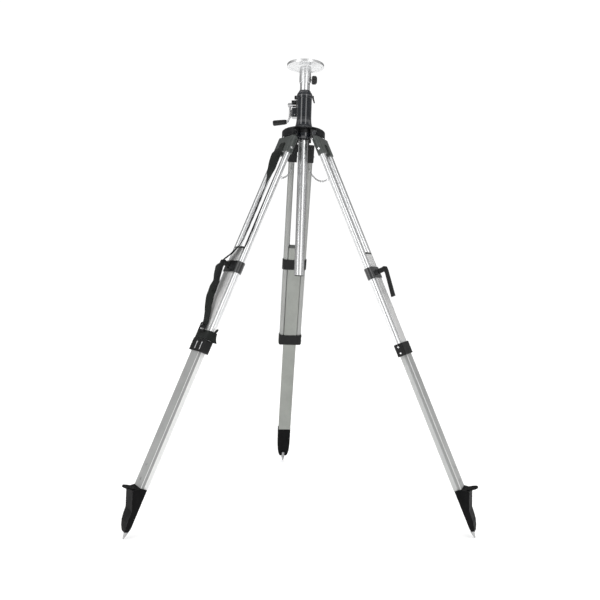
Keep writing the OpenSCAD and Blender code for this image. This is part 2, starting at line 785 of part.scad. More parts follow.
module mounting_stud() color(steel) translate([0, 0, plate_z]) {
    core_r = stud_d / 2 - stud_relief;
    stud_top = plate_t + stud_h;
    rotate_extrude() polygon([[0, -stud_head_h / 2], [stud_shoulder_r, -stud_head_h / 2],
        [stud_shoulder_r, plate_t - stud_relief], [core_r, plate_t - stud_relief],
        [core_r, plate_t + stud_relief], [stud_d / 2, plate_t + stud_relief],
        [stud_d / 2, stud_top - stud_relief], [core_r, stud_top], [0, stud_top]]);
    translate([0, 0, -stud_head_h]) cylinder(r = stud_head_r, h = stud_head_h, $fn = 6);
}

// Crank train

module crank_shaft() color(steel) on_gear() translate([0, -pinion_y, 0])
    x_rod(-case_far_x + case_wall / 2, arm_x - rod_r - over, shaft_r);

module drive_pinion() {
    tip_half = tooth_half - addendum * tan(flank_tilt);
    root_half = tooth_half + dedendum * tan(flank_tilt) / 3;
    step = 360 / pinion_teeth;
    outline = [for (k = [0 : pinion_teeth - 1]) for (p = [[pinion_root_r, -root_half],
        [pinion_r, -tooth_half], [pinion_tip_r, -tip_half], [pinion_tip_r, tip_half],
        [pinion_r, tooth_half], [pinion_root_r, root_half]])
        [p[0] * cos(k * step) - p[1] * sin(k * step), p[0] * sin(k * step) + p[1] * cos(k * step)]];
    color(bronze) on_gear() translate([-pinion_w / 2, -pinion_y, 0]) rotate([90, 0, 90])
        linear_extrude(pinion_w) difference() {
            polygon(outline);
            // Shaft hole
            circle(r = shaft_r + seat_fit);
        }
}

elbow = [arm_x, 0, -crank_throw * arm_elbow_share];
grip_from = [arm_x + grip_start, 0, -crank_throw];

module crank_hub() color(silver) on_gear() translate([0, -pinion_y, 0]) difference() {
    translate([hub_start_x, 0, 0]) rotate([0, 90, 0]) rotate_extrude() polygon([[0, 0], [crank_hub_r, 0],
        [crank_hub_r, crank_hub_len - hub_nose], [crank_hub_r - hub_nose, crank_hub_len],
        [0, crank_hub_len]]);
    // Shaft seat, bored from the case side
    x_rod(hub_start_x - over, arm_x - rod_r - over / 2, shaft_r + seat_fit);
    // Rod seat, drilled across
    rod([arm_x, 0, 0], elbow, rod_r + seat_fit);
}

module crank_arm() color(silver) on_gear() translate([0, -pinion_y, 0]) {
    rod([arm_x, 0, 0], elbow, rod_r);
    translate(elbow) sphere(r = rod_r + seat_fit);
    rod(elbow, grip_from, rod_r);
    translate(grip_from) sphere(r = rod_r + seat_fit);
    translate(grip_from) rotate([0, grip_droop, 0]) x_rod(0, grip_len - grip_cap, rod_r);
}

module crank_grip() color(black) on_gear() translate([0, -pinion_y, 0]) translate(grip_from)
    rotate([0, grip_droop, 0]) difference() {
        rotate([0, 90, 0]) translate([0, 0, rod_r + fit_gap]) rotate_extrude() polygon([[0, 0],
            [grip_neck_r, 0], [grip_r - grip_taper, grip_len / 6], [grip_r, grip_len - grip_cap],
            [grip_r - grip_cap / 2, grip_len],
            [0, grip_len]]);
        // Rod hole, blind
        x_rod(0, grip_len - grip_cap + fit_gap, rod_r + run_fit);
        // Finger grooves, turned round the grip
        for (k = [1 : grip_ribs])
            translate([rod_r + grip_len / 6 + k * grip_len * grip_rib_share / grip_ribs, 0, 0])
            rotate([0, 90, 0]) difference() {
                cylinder(r = grip_r + over, h = grip_rib_w / 2);
                translate([0, 0, -over]) cylinder(r = grip_r - grip_rib_d, h = grip_rib_w + 2 * over);
            }
    }

// Legs

module ear_plan() {
    circle(r = ear_r);
    translate([-ear_r, -yoke_top - yoke_wall]) square([ear_r + ear_out, yoke_top + yoke_wall]);
}

module hinge_yoke(leg) color(casting) on_leg(leg) difference() {
    union() {
        bar(yoke_top, yoke_end) intersection() {
            stadium(yoke_r, yoke_half_t);
            square([2 * yoke_half_t, rail_pitch + 4 * yoke_r], center = true);
        }
        across(ear_y, ear_y + ear_w) ear_plan();
        across(-ear_y - ear_w, -ear_y) ear_plan();
    }
    // Bolt bore, reamed through both ears
    rotate([90, 0, 0]) cylinder(r = bolt_r + run_fit, h = 4 * (ear_y + ear_w), center = true);
    // Rail sockets, bored from below
    bar(rail_top, yoke_end + over) rail_rounds(rail_r + seat_fit);
    // Gap between the sockets, milled from below
    bar(yoke_top + yoke_notch, yoke_end + over)
        square([4 * yoke_half_t, 2 * notch_half_w], center = true);
}

module rails(leg) color(silver) on_leg(leg) bar(rail_top, rail_end) difference() {
    rail_rounds(rail_r);
    // Bore of each tube
    rail_rounds(rail_r - rail_wall);
}

// Outline of the inner leg with the rail grooves down its sides
module inner_plan(gap) difference() {
    square([inner_t + 2 * gap, inner_w + 2 * gap], center = true);
    rail_rounds(groove_r - gap);
}

module lower_collar(leg) color(black) on_leg(leg) difference() {
    intersection() {
        bar(lower_top, lower_end)
            slab(-collar_half_t, collar_half_t, -lower_half_w, lower_half_w, lower_round);
        rotate([0, 0, 90]) across(-collar_half_t - over, collar_half_t + over) {
            translate([-lower_half_w, -lower_end + lower_round])
                square([2 * lower_half_w, lower_h - lower_round]);
            translate([-lower_half_w + lower_round, -lower_end])
                square([2 * (lower_half_w - lower_round), lower_round]);
            for (s = sides) translate([s * (lower_half_w - lower_round), -lower_end + lower_round])
                circle(r = lower_round);
        }
    }
    // Rail pockets, bored from above
    bar(lower_top - over, rail_end) rail_rounds(rail_r + seat_fit);
    // Way for the inner leg, broached through
    bar(lower_top - over, lower_end + over)
        square([inner_t + 2 * slide_fit, inner_w + 2 * slide_fit], center = true);
}

module rivet() cylinder(r1 = rivet_r, r2 = rivet_r - rivet_h / 2, h = rivet_h);

module leg_fixings(leg, eyes) color(silver) on_leg(leg) {
    for (s = sides) {
        // Rivet heads on both sides of each rail socket
        translate([0, s * (rail_pitch / 2 + yoke_r), -rivet_t]) rotate([-s * 90, 0, 0]) rivet();
        translate([0, s * notch_half_w, -rivet_t]) rotate([s * 90, 0, 0]) rivet();
    }
    for (share = collar_screw_shares) translate([0, -lower_half_w, -lower_top - lower_h * share])
        rotate([90, 0, 0]) cylinder(r1 = collar_screw_r, r2 = collar_screw_r - rivet_h / 2, h = rivet_h);
    for (s = eyes) translate([-rail_r - eye_r - eye_wire / 2 - eye_gap, s * rail_pitch / 2, -eye_t(leg)])
        rotate([90, 0, 0]) rotate_extrude() translate([eye_r, 0]) circle(d = eye_wire);
}

function eye_t(leg) = leg[0] == "rear" ? eye_t_rear : eye_t_front;
function eye_sides(leg) = leg[0] == "rear" ? sides : leg[0] == "left" ? [1] : [-1];
function eye_place(leg, s) =
    leg_point(leg, -rail_r - eye_r - eye_wire / 2 - eye_gap, s * rail_pitch / 2, eye_t(leg));

module inner_tube(leg) color(grey) on_leg(leg)
    bar(inner_top(leg), shoe_t(leg) - seat_fit) difference() {
        inner_plan(0);
        // Hollow of the extrusion
        square([inner_t - 2 * inner_wall, inner_in_w], center = true);
    }

module inner_cap(leg) color(black) on_leg(leg) {
    bar(inner_top(leg) - cap_t, inner_top(leg)) inner_plan(0);
    bar(inner_top(leg) - over, inner_top(leg) + plug_h)
        square([inner_t - 2 * inner_wall - 2 * seat_fit, inner_in_w - 2 * seat_fit], center = true);
}

module clamp_collar(leg) color(black) on_leg(leg) difference() {
    union() {
        bar(clamp_top(leg), clamp_top(leg) + clamp_h)
            slab(-collar_half_t, collar_half_t, -clamp_half_w, clamp_half_w, collar_half_t - over);
        translate([0, 0, -clamp_mid(leg)]) x_rod(inner_t / 2 + over, boss_out, boss_r);
    }
    // Rail ways, bored through
    bar(clamp_top(leg) - over, clamp_top(leg) + clamp_h + over) rail_rounds(rail_r + slide_fit);
    // Seat of the inner leg
    bar(clamp_top(leg) - over, clamp_top(leg) + clamp_h + over)
        square([inner_t + 2 * seat_fit, inner_w + 2 * seat_fit], center = true);
    // Clamp bolt hole, drilled through the boss
    translate([0, 0, -clamp_mid(leg)]) x_rod(0, boss_out + over, lever_bolt_r + run_fit);
}

module clamp_lever(leg) color(black) on_leg(leg) translate([0, 0, -clamp_mid(leg)]) {
    x_rod(boss_out + fit_gap, lever_out - lever_t / 2, lever_hub_r);
    x_rod(inner_t / 2 + fit_gap, lever_in, lever_bolt_r);
    across(-lever_w / 2, lever_w / 2) polygon([[lever_in, lever_hub_r],
        [lever_out - lever_t / 2, lever_hub_r],
        [lever_out, lever_hub_r / 2], [lever_out, -lever_hub_r],
        [lever_out - lever_lean, -lever_len], [lever_out - lever_lean - lever_t, -lever_len],
        [lever_in, -2 * lever_hub_r]]);
}

module foot(leg) color(black) on_leg(leg) translate([0, 0, -shoe_t(leg)]) {
    difference() {
        intersection() {
            across(-shoe_half_w, shoe_half_w) polygon(concat([[-shoe_back, 0], [shoe_back, 0]],
                [for (p = shoe_side_shares) [p[0] * shoe_reach, -p[1] * shoe_len]],
                [[-shoe_back, -shoe_heel_share * shoe_len]]));
            rotate([0, 0, 90]) across(-shoe_reach, shoe_back) polygon(concat(
                [for (p = shoe_front_shares) [p[0] * shoe_half_w, -p[1] * shoe_len]],
                [for (k = [len(shoe_front_shares) - 1 : -1 : 0])
                    [-shoe_front_shares[k][0] * shoe_half_w, -shoe_front_shares[k][1] * shoe_len]]));
            bar(-over, shoe_len + over)
                slab(-shoe_back, shoe_reach + shoe_round, -shoe_half_w, shoe_half_w, shoe_round);
        }
        // Seat of the steel point, drilled from below
        translate([tip_x, 0, -shoe_len - over]) cylinder(r = point_shank_r + seat_fit, h = point_seat + over);
    }
    // Tongue that the inner leg is screwed to
    bar(-shoe_tongue, over)
        square([inner_t - 2 * inner_wall - 2 * seat_fit, inner_in_w - 2 * seat_fit], center = true);
    translate([shoe_back - over, 0, -step_z]) rotate([0, step_tilt, 0]) step_plate();
}

module step_plate() {
    length = step_reach - shoe_back + over;
    translate([0, 0, -step_t]) linear_extrude(step_t) {
        translate([0, -step_w / 2]) square([length - step_w / 2, step_w]);
        translate([length - step_w / 2, 0]) circle(d = step_w);
    }
    // Grip ribs across the step
    for (k = [1 : step_ribs]) translate([k * length / (step_ribs + 2), -step_w / 3, -over / 2])
        cube([step_rib_w, step_w / 1.5, step_rib_h + over / 2]);
}

module foot_hardware(leg) color(steel) on_leg(leg) {
    translate([tip_x, 0, -reach(leg)]) {
        sphere(r = tip_r);
        cylinder(r1 = tip_r, r2 = point_d / 2, h = foot_len - shoe_len);
        translate([0, 0, foot_len - shoe_len - over]) cylinder(r = point_shank_r, h = point_seat + over);
    }
    for (rise = shoe_screw_rises) translate([inner_t / 2, 0, -shoe_t(leg) + rise]) rotate([0, 90, 0])
        cylinder(r1 = shoe_screw_r, r2 = shoe_screw_r - shoe_screw_h / 2, h = shoe_screw_h);
}

// Strap, buckle and chains

// One ring of the webbing: four corners of its section
function strap_ring(p) = let (
    hub = clamp_mid(left_leg),
    t = p[0] < 1 ? strap_from + p[0] * (hub - strap_from)
        : p[0] > 2 ? strap_to : hub + (p[0] - 1) * (strap_to - strap_tail - hub),
    across_dir = [sin(p[3]), cos(p[3])],
    out_dir = [cos(p[3]), -sin(p[3])],
    mid = [p[1] * strap_stand, p[2] * rail_pitch / 2])
    [for (q = [[-1, -1], [1, -1], [1, 1], [-1, 1]])
        let (v = mid + across_dir * q[0] * strap_w / 2 + out_dir * q[1] * strap_t / 2) [v[0], v[1], -t]];

module strap_web() {
    rings = len(strap_shares);
    points = [for (p = strap_shares) each strap_ring(p)];
    walls = [for (k = [0 : rings - 2]) for (c = [0 : 3]) let (a = 4 * k + c, b = 4 * k + (c + 1) % 4)
        each c < 2 ? [[a, a + 4, b], [b, a + 4, b + 4]] : [[a, a + 4, b + 4], [a, b + 4, b]]];
    last = 4 * (rings - 1);
    polyhedron(points, concat(walls, [[0, 1, 2], [0, 2, 3]],
        [[last, last + 2, last + 1], [last, last + 3, last + 2]]));
}

// Slack loop round both rails
module band_plan(r) {
    stadium(r, r);
    translate([0, band_slack]) stadium(r, r);
}

module shoulder_strap() color(webbing) on_leg(left_leg) strap_web();

module strap_band() color(webbing) on_leg(left_leg) bar(band_t, band_t + band_h) difference() {
    band_plan(band_in_r + strap_t);
    band_plan(band_in_r);
}

module strap_buckle() color(black) on_leg(left_leg)
    translate([strap_shares[len(strap_shares) - 1][1] * strap_stand + strap_t / 2 + fit_gap, 0, -buckle_t0])
        rotate([0, 90, 0]) linear_extrude(buckle_t) difference() {
            slab(0, buckle_h, -buckle_w / 2, buckle_w / 2, buckle_bar);
            // Slots for the webbing
            for (k = [0 : 1]) translate([buckle_bar + k * (buckle_slot + 2 * buckle_bar), -strap_w / 2])
                square([buckle_slot, strap_w]);
        }

// Oval chain link along X
module chain_link() {
    for (s = sides) {
        translate([s * link_half, 0, 0]) rotate([0, 0, -90 * s]) rotate_extrude(angle = 180)
            translate([link_bend, 0]) circle(d = wire_d, $fn = 16);
        translate([0, s * link_bend, 0]) x_rod(-link_half, link_half, wire_d / 2, $fn = 16);
    }
}

function sag_point(a, b, sag, u) = a + (b - a) * u - [0, 0, 4 * sag * u * (1 - u)];

// Shares of the span where the run of the chain grows by equal steps
function run_lengths(points) = [for (k = 0, run = 0; k < len(points);
    run = run + (k + 1 < len(points) ? norm(points[k + 1] - points[k]) : 0), k = k + 1) run];
function share_at(runs, run, k = 1) = runs[k] >= run || k == len(runs) - 1
    ? (k - (runs[k] - run) / (runs[k] - runs[k - 1])) / (len(runs) - 1) : share_at(runs, run, k + 1);

module chain(a, b, sag) {
    runs = run_lengths([for (k = [0 : chain_steps]) sag_point(a, b, sag, k / chain_steps)]);
    whole = runs[chain_steps];
    links = ceil(whole / link_pitch);
    for (k = [1 : links - 2]) {
        p = sag_point(a, b, sag, share_at(runs, whole * k / links));
        q = sag_point(a, b, sag, share_at(runs, whole * (k + 1) / links));
        d = q - p;
        translate((p + q) / 2) rotate([0, 0, atan2(d[1], d[0])])
            rotate([0, -asin(d[2] / norm(d)), 0]) rotate([90 * (k % 2), 0, 0]) chain_link();
    }
}

module leg_chains() color(silver) {
    chain(eye_place(left_leg, 1), eye_place(rear_leg, 1), chain_sags[0]);
    chain(eye_place(right_leg, -1), eye_place(rear_leg, -1), chain_sags[1]);
}

dome_casting();
gear_housing();
guide_cap();
upper_bush();
lower_bush();
hub_nut();
gearbox_cover();
gearbox_screws();
shaft_bush();
hinge_bolts();
lock_nut();
lock_lever();
brake_knob();
column_tube();
column_rack();
column_plug();
head_plate();
plate_socket();
mounting_stud();
socket_knob();
knob_screw();
crank_shaft();
drive_pinion();
crank_hub();
crank_arm();
crank_grip();
shoulder_strap();
strap_band();
strap_buckle();
leg_chains();
for (leg = legs) {
    hinge_yoke(leg);
    rails(leg);
    lower_collar(leg);
    leg_fixings(leg, eye_sides(leg));
    inner_tube(leg);
    inner_cap(leg);
    clamp_collar(leg);
    clamp_lever(leg);
    foot(leg);
    foot_hardware(leg);
}
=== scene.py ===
import json
import math

import bmesh
import bpy
import numpy as np
from mathutils import Matrix, Vector


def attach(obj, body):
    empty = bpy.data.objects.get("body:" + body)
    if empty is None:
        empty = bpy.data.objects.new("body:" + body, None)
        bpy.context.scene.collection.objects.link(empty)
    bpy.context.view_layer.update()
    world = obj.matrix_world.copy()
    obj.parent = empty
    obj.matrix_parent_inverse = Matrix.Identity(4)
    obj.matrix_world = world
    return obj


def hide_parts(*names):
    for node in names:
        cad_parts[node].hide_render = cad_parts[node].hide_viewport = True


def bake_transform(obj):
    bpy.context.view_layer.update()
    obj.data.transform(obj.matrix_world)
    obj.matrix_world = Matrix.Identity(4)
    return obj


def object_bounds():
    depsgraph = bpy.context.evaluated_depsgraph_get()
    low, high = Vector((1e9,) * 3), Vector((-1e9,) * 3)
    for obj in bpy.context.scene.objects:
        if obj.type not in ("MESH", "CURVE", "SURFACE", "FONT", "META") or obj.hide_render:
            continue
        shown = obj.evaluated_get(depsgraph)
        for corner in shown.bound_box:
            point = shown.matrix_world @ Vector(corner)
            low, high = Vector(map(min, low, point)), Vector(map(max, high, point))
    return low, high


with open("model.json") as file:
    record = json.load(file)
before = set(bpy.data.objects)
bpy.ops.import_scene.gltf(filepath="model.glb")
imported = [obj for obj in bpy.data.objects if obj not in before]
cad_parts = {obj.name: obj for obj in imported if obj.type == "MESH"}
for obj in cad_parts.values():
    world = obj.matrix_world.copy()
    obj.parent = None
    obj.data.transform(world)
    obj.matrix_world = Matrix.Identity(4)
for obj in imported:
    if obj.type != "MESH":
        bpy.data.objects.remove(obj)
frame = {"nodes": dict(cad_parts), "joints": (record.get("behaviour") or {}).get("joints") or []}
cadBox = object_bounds()
nodes = frame["nodes"]
joints = {j["name"]: j for j in frame["joints"]}
scene = bpy.context.scene
print("frame loaded,", len(nodes), "nodes")


# camera, where the photographer stood
cameraStand = {
    "turn": -5.27,      # degrees round the tripod from square on
    "distance": 2.600,
    "height": 0.948,
    "yaw": 0.16,
    "pitch": 2.33,      # looking slightly down
    "roll": 1.81,
    "lens": 37.95,
    "sensor": 36.0,
}


def placeCamera(stand):
    yaw, pitch, roll = (math.radians(stand[k]) for k in ("yaw", "pitch", "roll"))
    ahead = Vector((math.sin(yaw) * math.cos(pitch), math.cos(yaw) * math.cos(pitch), -math.sin(pitch)))
    right = ahead.cross(Vector((0, 0, 1))).normalized()
    up = right.cross(ahead)
    right, up = (right * math.cos(roll) + up * math.sin(roll),
                 up * math.cos(roll) - right * math.sin(roll))
    axes = Matrix((right, up, -ahead)).transposed()
    turn = Matrix.Rotation(math.radians(stand["turn"]), 3, "Z")
    camera = bpy.data.objects.new("camera", bpy.data.cameras.new("camera"))
    camera.data.lens = stand["lens"]
    camera.data.sensor_width = stand["sensor"]
    place = turn @ Vector((0, -stand["distance"], stand["height"]))
    camera.matrix_world = Matrix.Translation(place) @ (turn @ axes).to_4x4()
    scene.collection.objects.link(camera)
    scene.camera = camera


placeCamera(cameraStand)
print("camera placed")


# legs, read back from the joints: x outwards, y along the hinge, t down the leg

def legFrame(side):
    fold, slide = joints[side + "_fold"], joints[side + "_extend"]
    down = Vector(slide["axis"]).normalized()
    along = Vector(fold["axis"]).normalized()
    return {"side": side, "hinge": Vector(fold["pos_m"]), "out": along.cross(-down),
            "along": along, "down": down}


legs = {side: legFrame(side) for side in ("rear", "left", "right")}
leftLeg = legs["left"]


def legPoint(leg, x, y, t):
    return leg["hinge"] + leg["out"] * x + leg["along"] * y + leg["down"] * t


def legRows(leg, node):
    rows = []
    for vertex in nodes[node].data.vertices:
        p = vertex.co - leg["hinge"]
        rows.append((p.dot(leg["out"]), p.dot(leg["along"]), p.dot(leg["down"])))
    return np.array(rows)


def legBox(leg, node):
    rows = legRows(leg, node)
    return rows.min(0), rows.max(0)


# node helpers

def addNode(tree, kind, values=None, **settings):
    node = tree.nodes.new(kind)
    for name, value in settings.items():
        setattr(node, name, value)
    for name, value in (values or {}).items():
        node.inputs[name].default_value = value
    return node


def mathNode(tree, operation, a, b=None, clamp=False):
    node = addNode(tree, "ShaderNodeMath", operation=operation, use_clamp=clamp)
    for socket, value in zip(node.inputs, (a, b)):
        if value is None:
            continue
        if isinstance(value, (int, float)):
            socket.default_value = value
        else:
            tree.links.new(value, socket)
    return node.outputs[0]


def rampNode(tree, value, low, high, toLow=0.0, toHigh=1.0):
    node = addNode(tree, "ShaderNodeMapRange",
                   {"From Min": low, "From Max": high, "To Min": toLow, "To Max": toHigh})
    node.interpolation_type = "SMOOTHSTEP"
    tree.links.new(value, node.inputs["Value"])
    return node.outputs["Result"]


def noiseNode(tree, vector, values, scale=None):
    node = addNode(tree, "ShaderNodeTexNoise", values)
    tree.links.new(vector, node.inputs["Vector"])
    if scale is not None:
        tree.links.new(scale, node.inputs["Scale"])
    return node.outputs["Fac"]


def splitNode(tree, vector):
    node = addNode(tree, "ShaderNodeSeparateXYZ")
    tree.links.new(vector, node.inputs[0])
    return node.outputs


def coordinates(tree, kind="Object"):
    return addNode(tree, "ShaderNodeTexCoord").outputs[kind]


mixSockets = {"first": 6, "second": 7, "result": 2}     # the colour ones among those of the same name


def mixColours(tree, mask, first, second):
    node = addNode(tree, "ShaderNodeMix", data_type="RGBA")
    tree.links.new(mask, node.inputs[0])
    for label, colour in (("first", first), ("second", second)):
        socket = node.inputs[mixSockets[label]]
        if isinstance(colour, tuple):
            socket.default_value = colour + (1.0,)
        else:
            tree.links.new(colour, socket)
    return node.outputs[mixSockets["result"]]


def newGroup(name, takes, gives):
    tree = bpy.data.node_groups.new(name, "ShaderNodeTree")
    for way, labels in (("INPUT", takes), ("OUTPUT", gives)):
        for label in labels:
            kind = "NodeSocketVector" if label == "Vector" else "NodeSocketFloat"
            tree.interface.new_socket(label, in_out=way, socket_type=kind)
    return tree, tree.nodes.new("NodeGroupInput").outputs, tree.nodes.new("NodeGroupOutput").inputs


# shared effects
wearLook = {"samples": 6, "flat": 0.995, "sharp": 0.90, "patch": (0.40, 0.62)}


def edgeWearGroup(look):
    # bare patches along the edges
    tree, takes, gives = newGroup("edgeWear", ("Radius", "Breakup", "Amount"), ("Mask",))
    bevel = addNode(tree, "ShaderNodeBevel", samples=look["samples"])
    shape = addNode(tree, "ShaderNodeNewGeometry")
    dot = addNode(tree, "ShaderNodeVectorMath", operation="DOT_PRODUCT")
    tree.links.new(takes["Radius"], bevel.inputs["Radius"])
    tree.links.new(bevel.outputs["Normal"], dot.inputs[0])
    tree.links.new(shape.outputs["Normal"], dot.inputs[1])
    patches = noiseNode(tree, coordinates(tree), {"Detail": 5.0, "Roughness": 0.65}, takes["Breakup"])
    edge = rampNode(tree, dot.outputs["Value"], look["flat"], look["sharp"])
    mask = mathNode(tree, "MULTIPLY", edge, rampNode(tree, patches, *look["patch"]))
    tree.links.new(mathNode(tree, "MULTIPLY", mask, takes["Amount"], clamp=True), gives["Mask"])
    return tree


grainLook = {"swell": 1.5, "mottle": (0.30, 0.70)}


def castGrainGroup(look):
    # fine pimples on a slow swell, as paint over a sand casting
    tree, takes, gives = newGroup("castGrain", ("Fine", "Broad"), ("Height", "Mottle"))
    vector = coordinates(tree)
    fine = noiseNode(tree, vector, {"Detail": 3.0, "Roughness": 0.55}, takes["Fine"])
    broad = noiseNode(tree, vector, {"Detail": 4.0, "Roughness": 0.6}, takes["Broad"])
    swell = mathNode(tree, "MULTIPLY", broad, look["swell"])
    tree.links.new(mathNode(tree, "ADD", fine, swell), gives["Height"])
    tree.links.new(rampNode(tree, broad, *look["mottle"]), gives["Mottle"])
    return tree


lineLook = {"stain": (0.35, 0.75), "stainScale": 14.0}


def drawLinesGroup(look):
    # lines left along a bar by the die or the polishing belt
    tree, takes, gives = newGroup("drawLines", ("Vector", "Across", "Along"), ("Lines", "Stain"))
    split = splitNode(tree, takes["Vector"])
    join = addNode(tree, "ShaderNodeCombineXYZ")
    for axis, scale in (("X", "Across"), ("Y", "Across"), ("Z", "Along")):
        tree.links.new(mathNode(tree, "MULTIPLY", split[axis], takes[scale]), join.inputs[axis])
    lines = noiseNode(tree, join.outputs[0], {"Scale": 1.0, "Detail": 4.0, "Roughness": 0.7})
    stain = noiseNode(tree, takes["Vector"], {"Scale": look["stainScale"], "Detail": 6.0, "Roughness": 0.6})
    tree.links.new(lines, gives["Lines"])
    tree.links.new(rampNode(tree, stain, *look["stain"]), gives["Stain"])
    return tree


dustLook = {"slope": (-0.2, 0.9), "patch": (0.35, 0.75)}


def fieldDustGroup(look):
    # pale dust that settles on upward faces
    tree, takes, gives = newGroup("fieldDust", ("Scale", "Amount"), ("Mask",))
    shape = addNode(tree, "ShaderNodeNewGeometry")
    patches = noiseNode(tree, coordinates(tree), {"Detail": 8.0, "Roughness": 0.7}, takes["Scale"])
    upward = rampNode(tree, splitNode(tree, shape.outputs["Normal"])["Z"], *look["slope"])
    mask = mathNode(tree, "MULTIPLY", upward, rampNode(tree, patches, *look["patch"]))
    tree.links.new(mathNode(tree, "MULTIPLY", mask, takes["Amount"], clamp=True), gives["Mask"])
    return tree


scratchLook = {"runs": ((25.0, 14.0), (-50.0, 18.0)), "line": (0.66, 0.74)}    # turn and squeeze of each set


def scratchesGroup(look):
    # short crossing scratches from handling
    tree, takes, gives = newGroup("scratches", ("Scale", "Amount"), ("Mask",))
    vector = coordinates(tree)
    lines = []
    for turn, squeeze in look["runs"]:
        place = addNode(tree, "ShaderNodeMapping")
        place.inputs["Rotation"].default_value = [math.radians(a) for a in (turn, turn / 2, turn)]
        place.inputs["Scale"].default_value = (1.0, squeeze, squeeze)
        tree.links.new(vector, place.inputs["Vector"])
        noise = noiseNode(tree, place.outputs["Vector"], {"Detail": 2.0, "Roughness": 0.5}, takes["Scale"])
        lines.append(rampNode(tree, noise, *look["line"]))
    both = mathNode(tree, "MAXIMUM", *lines)
    tree.links.new(mathNode(tree, "MULTIPLY", both, takes["Amount"], clamp=True), gives["Mask"])
    return tree


weaveLook = {"shift": 0.5, "rise": 0.7, "base": 0.3, "fuzz": 0.25, "fuzzScale": 2600.0}


def webWeaveGroup(look):
    # flat webbing: ribs along the strap crossed by the filling yarn, u and v in metres
    tree, takes, gives = newGroup("webWeave", ("Rib", "Pick"), ("Height", "Shade"))
    place = splitNode(tree, coordinates(tree, "UV"))
    ribs = mathNode(tree, "DIVIDE", place["X"], takes["Rib"])
    picks = mathNode(tree, "DIVIDE", place["Y"], takes["Pick"])
    shift = mathNode(tree, "MULTIPLY", mathNode(tree, "FLOOR", ribs), look["shift"])
    shifted = mathNode(tree, "ADD", picks, shift)
    across, along = (mathNode(tree, "SINE", mathNode(tree, "MULTIPLY", mathNode(tree, "FRACT", v), math.pi))
                     for v in (ribs, shifted))
    along = mathNode(tree, "ADD", mathNode(tree, "MULTIPLY", along, look["rise"]), look["base"])
    yarn = mathNode(tree, "MULTIPLY", across, along)
    fuzz = noiseNode(tree, coordinates(tree), {"Scale": look["fuzzScale"], "Detail": 2.0})
    height = mathNode(tree, "ADD", yarn, mathNode(tree, "MULTIPLY", fuzz, look["fuzz"]))
    tree.links.new(height, gives["Height"])
    tree.links.new(yarn, gives["Shade"])
    return tree


edgeWear = edgeWearGroup(wearLook)
castGrain = castGrainGroup(grainLook)
drawLines = drawLinesGroup(lineLook)
fieldDust = fieldDustGroup(dustLook)
scratches = scratchesGroup(scratchLook)
webWeave = webWeaveGroup(weaveLook)
print("shared effects built")


# finishes

def newFinish(name, colour, rough, metal=0.0, **constants):
    material = bpy.data.materials.new(name)
    material.use_nodes = True
    tree = material.node_tree
    shader = tree.nodes["Principled BSDF"]
    shader.inputs["Base Color"].default_value = colour + (1.0,)
    shader.inputs["Roughness"].default_value = rough
    shader.inputs["Metallic"].default_value = metal
    for label, value in constants.items():
        shader.inputs[label.replace("_", " ")].default_value = value
    return material, tree, shader


def useGroup(tree, group, vector=None, **values):
    node = addNode(tree, "ShaderNodeGroup", values, node_tree=group)
    if vector is not None:
        tree.links.new(vector, node.inputs["Vector"])
    return node.outputs


def setRough(tree, shader, pattern, rough, span=(0.0, 1.0), marks=None, markRough=0.0):
    value = rampNode(tree, pattern, *span, *rough)
    if marks is not None:
        value = mathNode(tree, "ADD", value, mathNode(tree, "MULTIPLY", marks, markRough))
    tree.links.new(value, shader.inputs["Roughness"])


def addBump(tree, shader, height, strength, distance):
    bump = addNode(tree, "ShaderNodeBump", {"Strength": strength, "Distance": distance})
    tree.links.new(height, bump.inputs["Height"])
    tree.links.new(bump.outputs["Normal"], shader.inputs["Normal"])


castPaint = {
    "blackPaint": {
        "colour": (0.0060, 0.0062, 0.0068), "mottled": (0.0095, 0.0098, 0.0105), "bare": (0.24, 0.24, 0.25),
        "rough": (0.30, 0.42), "wear": 0.35, "dust": 0.02, "bump": 0.12, "gloss": 0.24},
    "shoePaint": {
        "colour": (0.0042, 0.0042, 0.0045), "mottled": (0.0075, 0.0075, 0.0078), "bare": (0.20, 0.20, 0.20),
        "rough": (0.50, 0.62), "wear": 0.30, "dust": 0.005, "bump": 0.20, "gloss": 0.05},
    "yokePaint": {
        "colour": (0.042, 0.047, 0.044), "mottled": (0.055, 0.061, 0.058), "bare": (0.36, 0.37, 0.37),
        "rough": (0.30, 0.40), "wear": 0.35, "dust": 0.03, "bump": 0.12, "gloss": 0.40},
}
castSurface = {
    "grain": {"Fine": 850.0, "Broad": 45.0}, "depth": 0.0004,
    "wear": {"Radius": 0.0016, "Breakup": 140.0}, "bareMetal": 0.9,
    "dustScale": 35.0, "dustColour": (0.30, 0.28, 0.25),
}


def paintedCasting(name, look):
    material, tree, shader = newFinish(name, look["colour"], look["rough"][0],
                                       Specular_IOR_Level=look["gloss"])
    grain = useGroup(tree, castGrain, **castSurface["grain"])
    wear = useGroup(tree, edgeWear, Amount=look["wear"], **castSurface["wear"])
    dust = useGroup(tree, fieldDust, Scale=castSurface["dustScale"], Amount=look["dust"])
    paint = mixColours(tree, grain["Mottle"], look["colour"], look["mottled"])
    paint = mixColours(tree, wear["Mask"], paint, look["bare"])
    paint = mixColours(tree, dust["Mask"], paint, castSurface["dustColour"])
    tree.links.new(paint, shader.inputs["Base Color"])
    bare = mathNode(tree, "MULTIPLY", wear["Mask"], castSurface["bareMetal"])
    tree.links.new(bare, shader.inputs["Metallic"])
    setRough(tree, shader, grain["Mottle"], look["rough"])
    addBump(tree, shader, grain["Height"], look["bump"], castSurface["depth"])
    return material


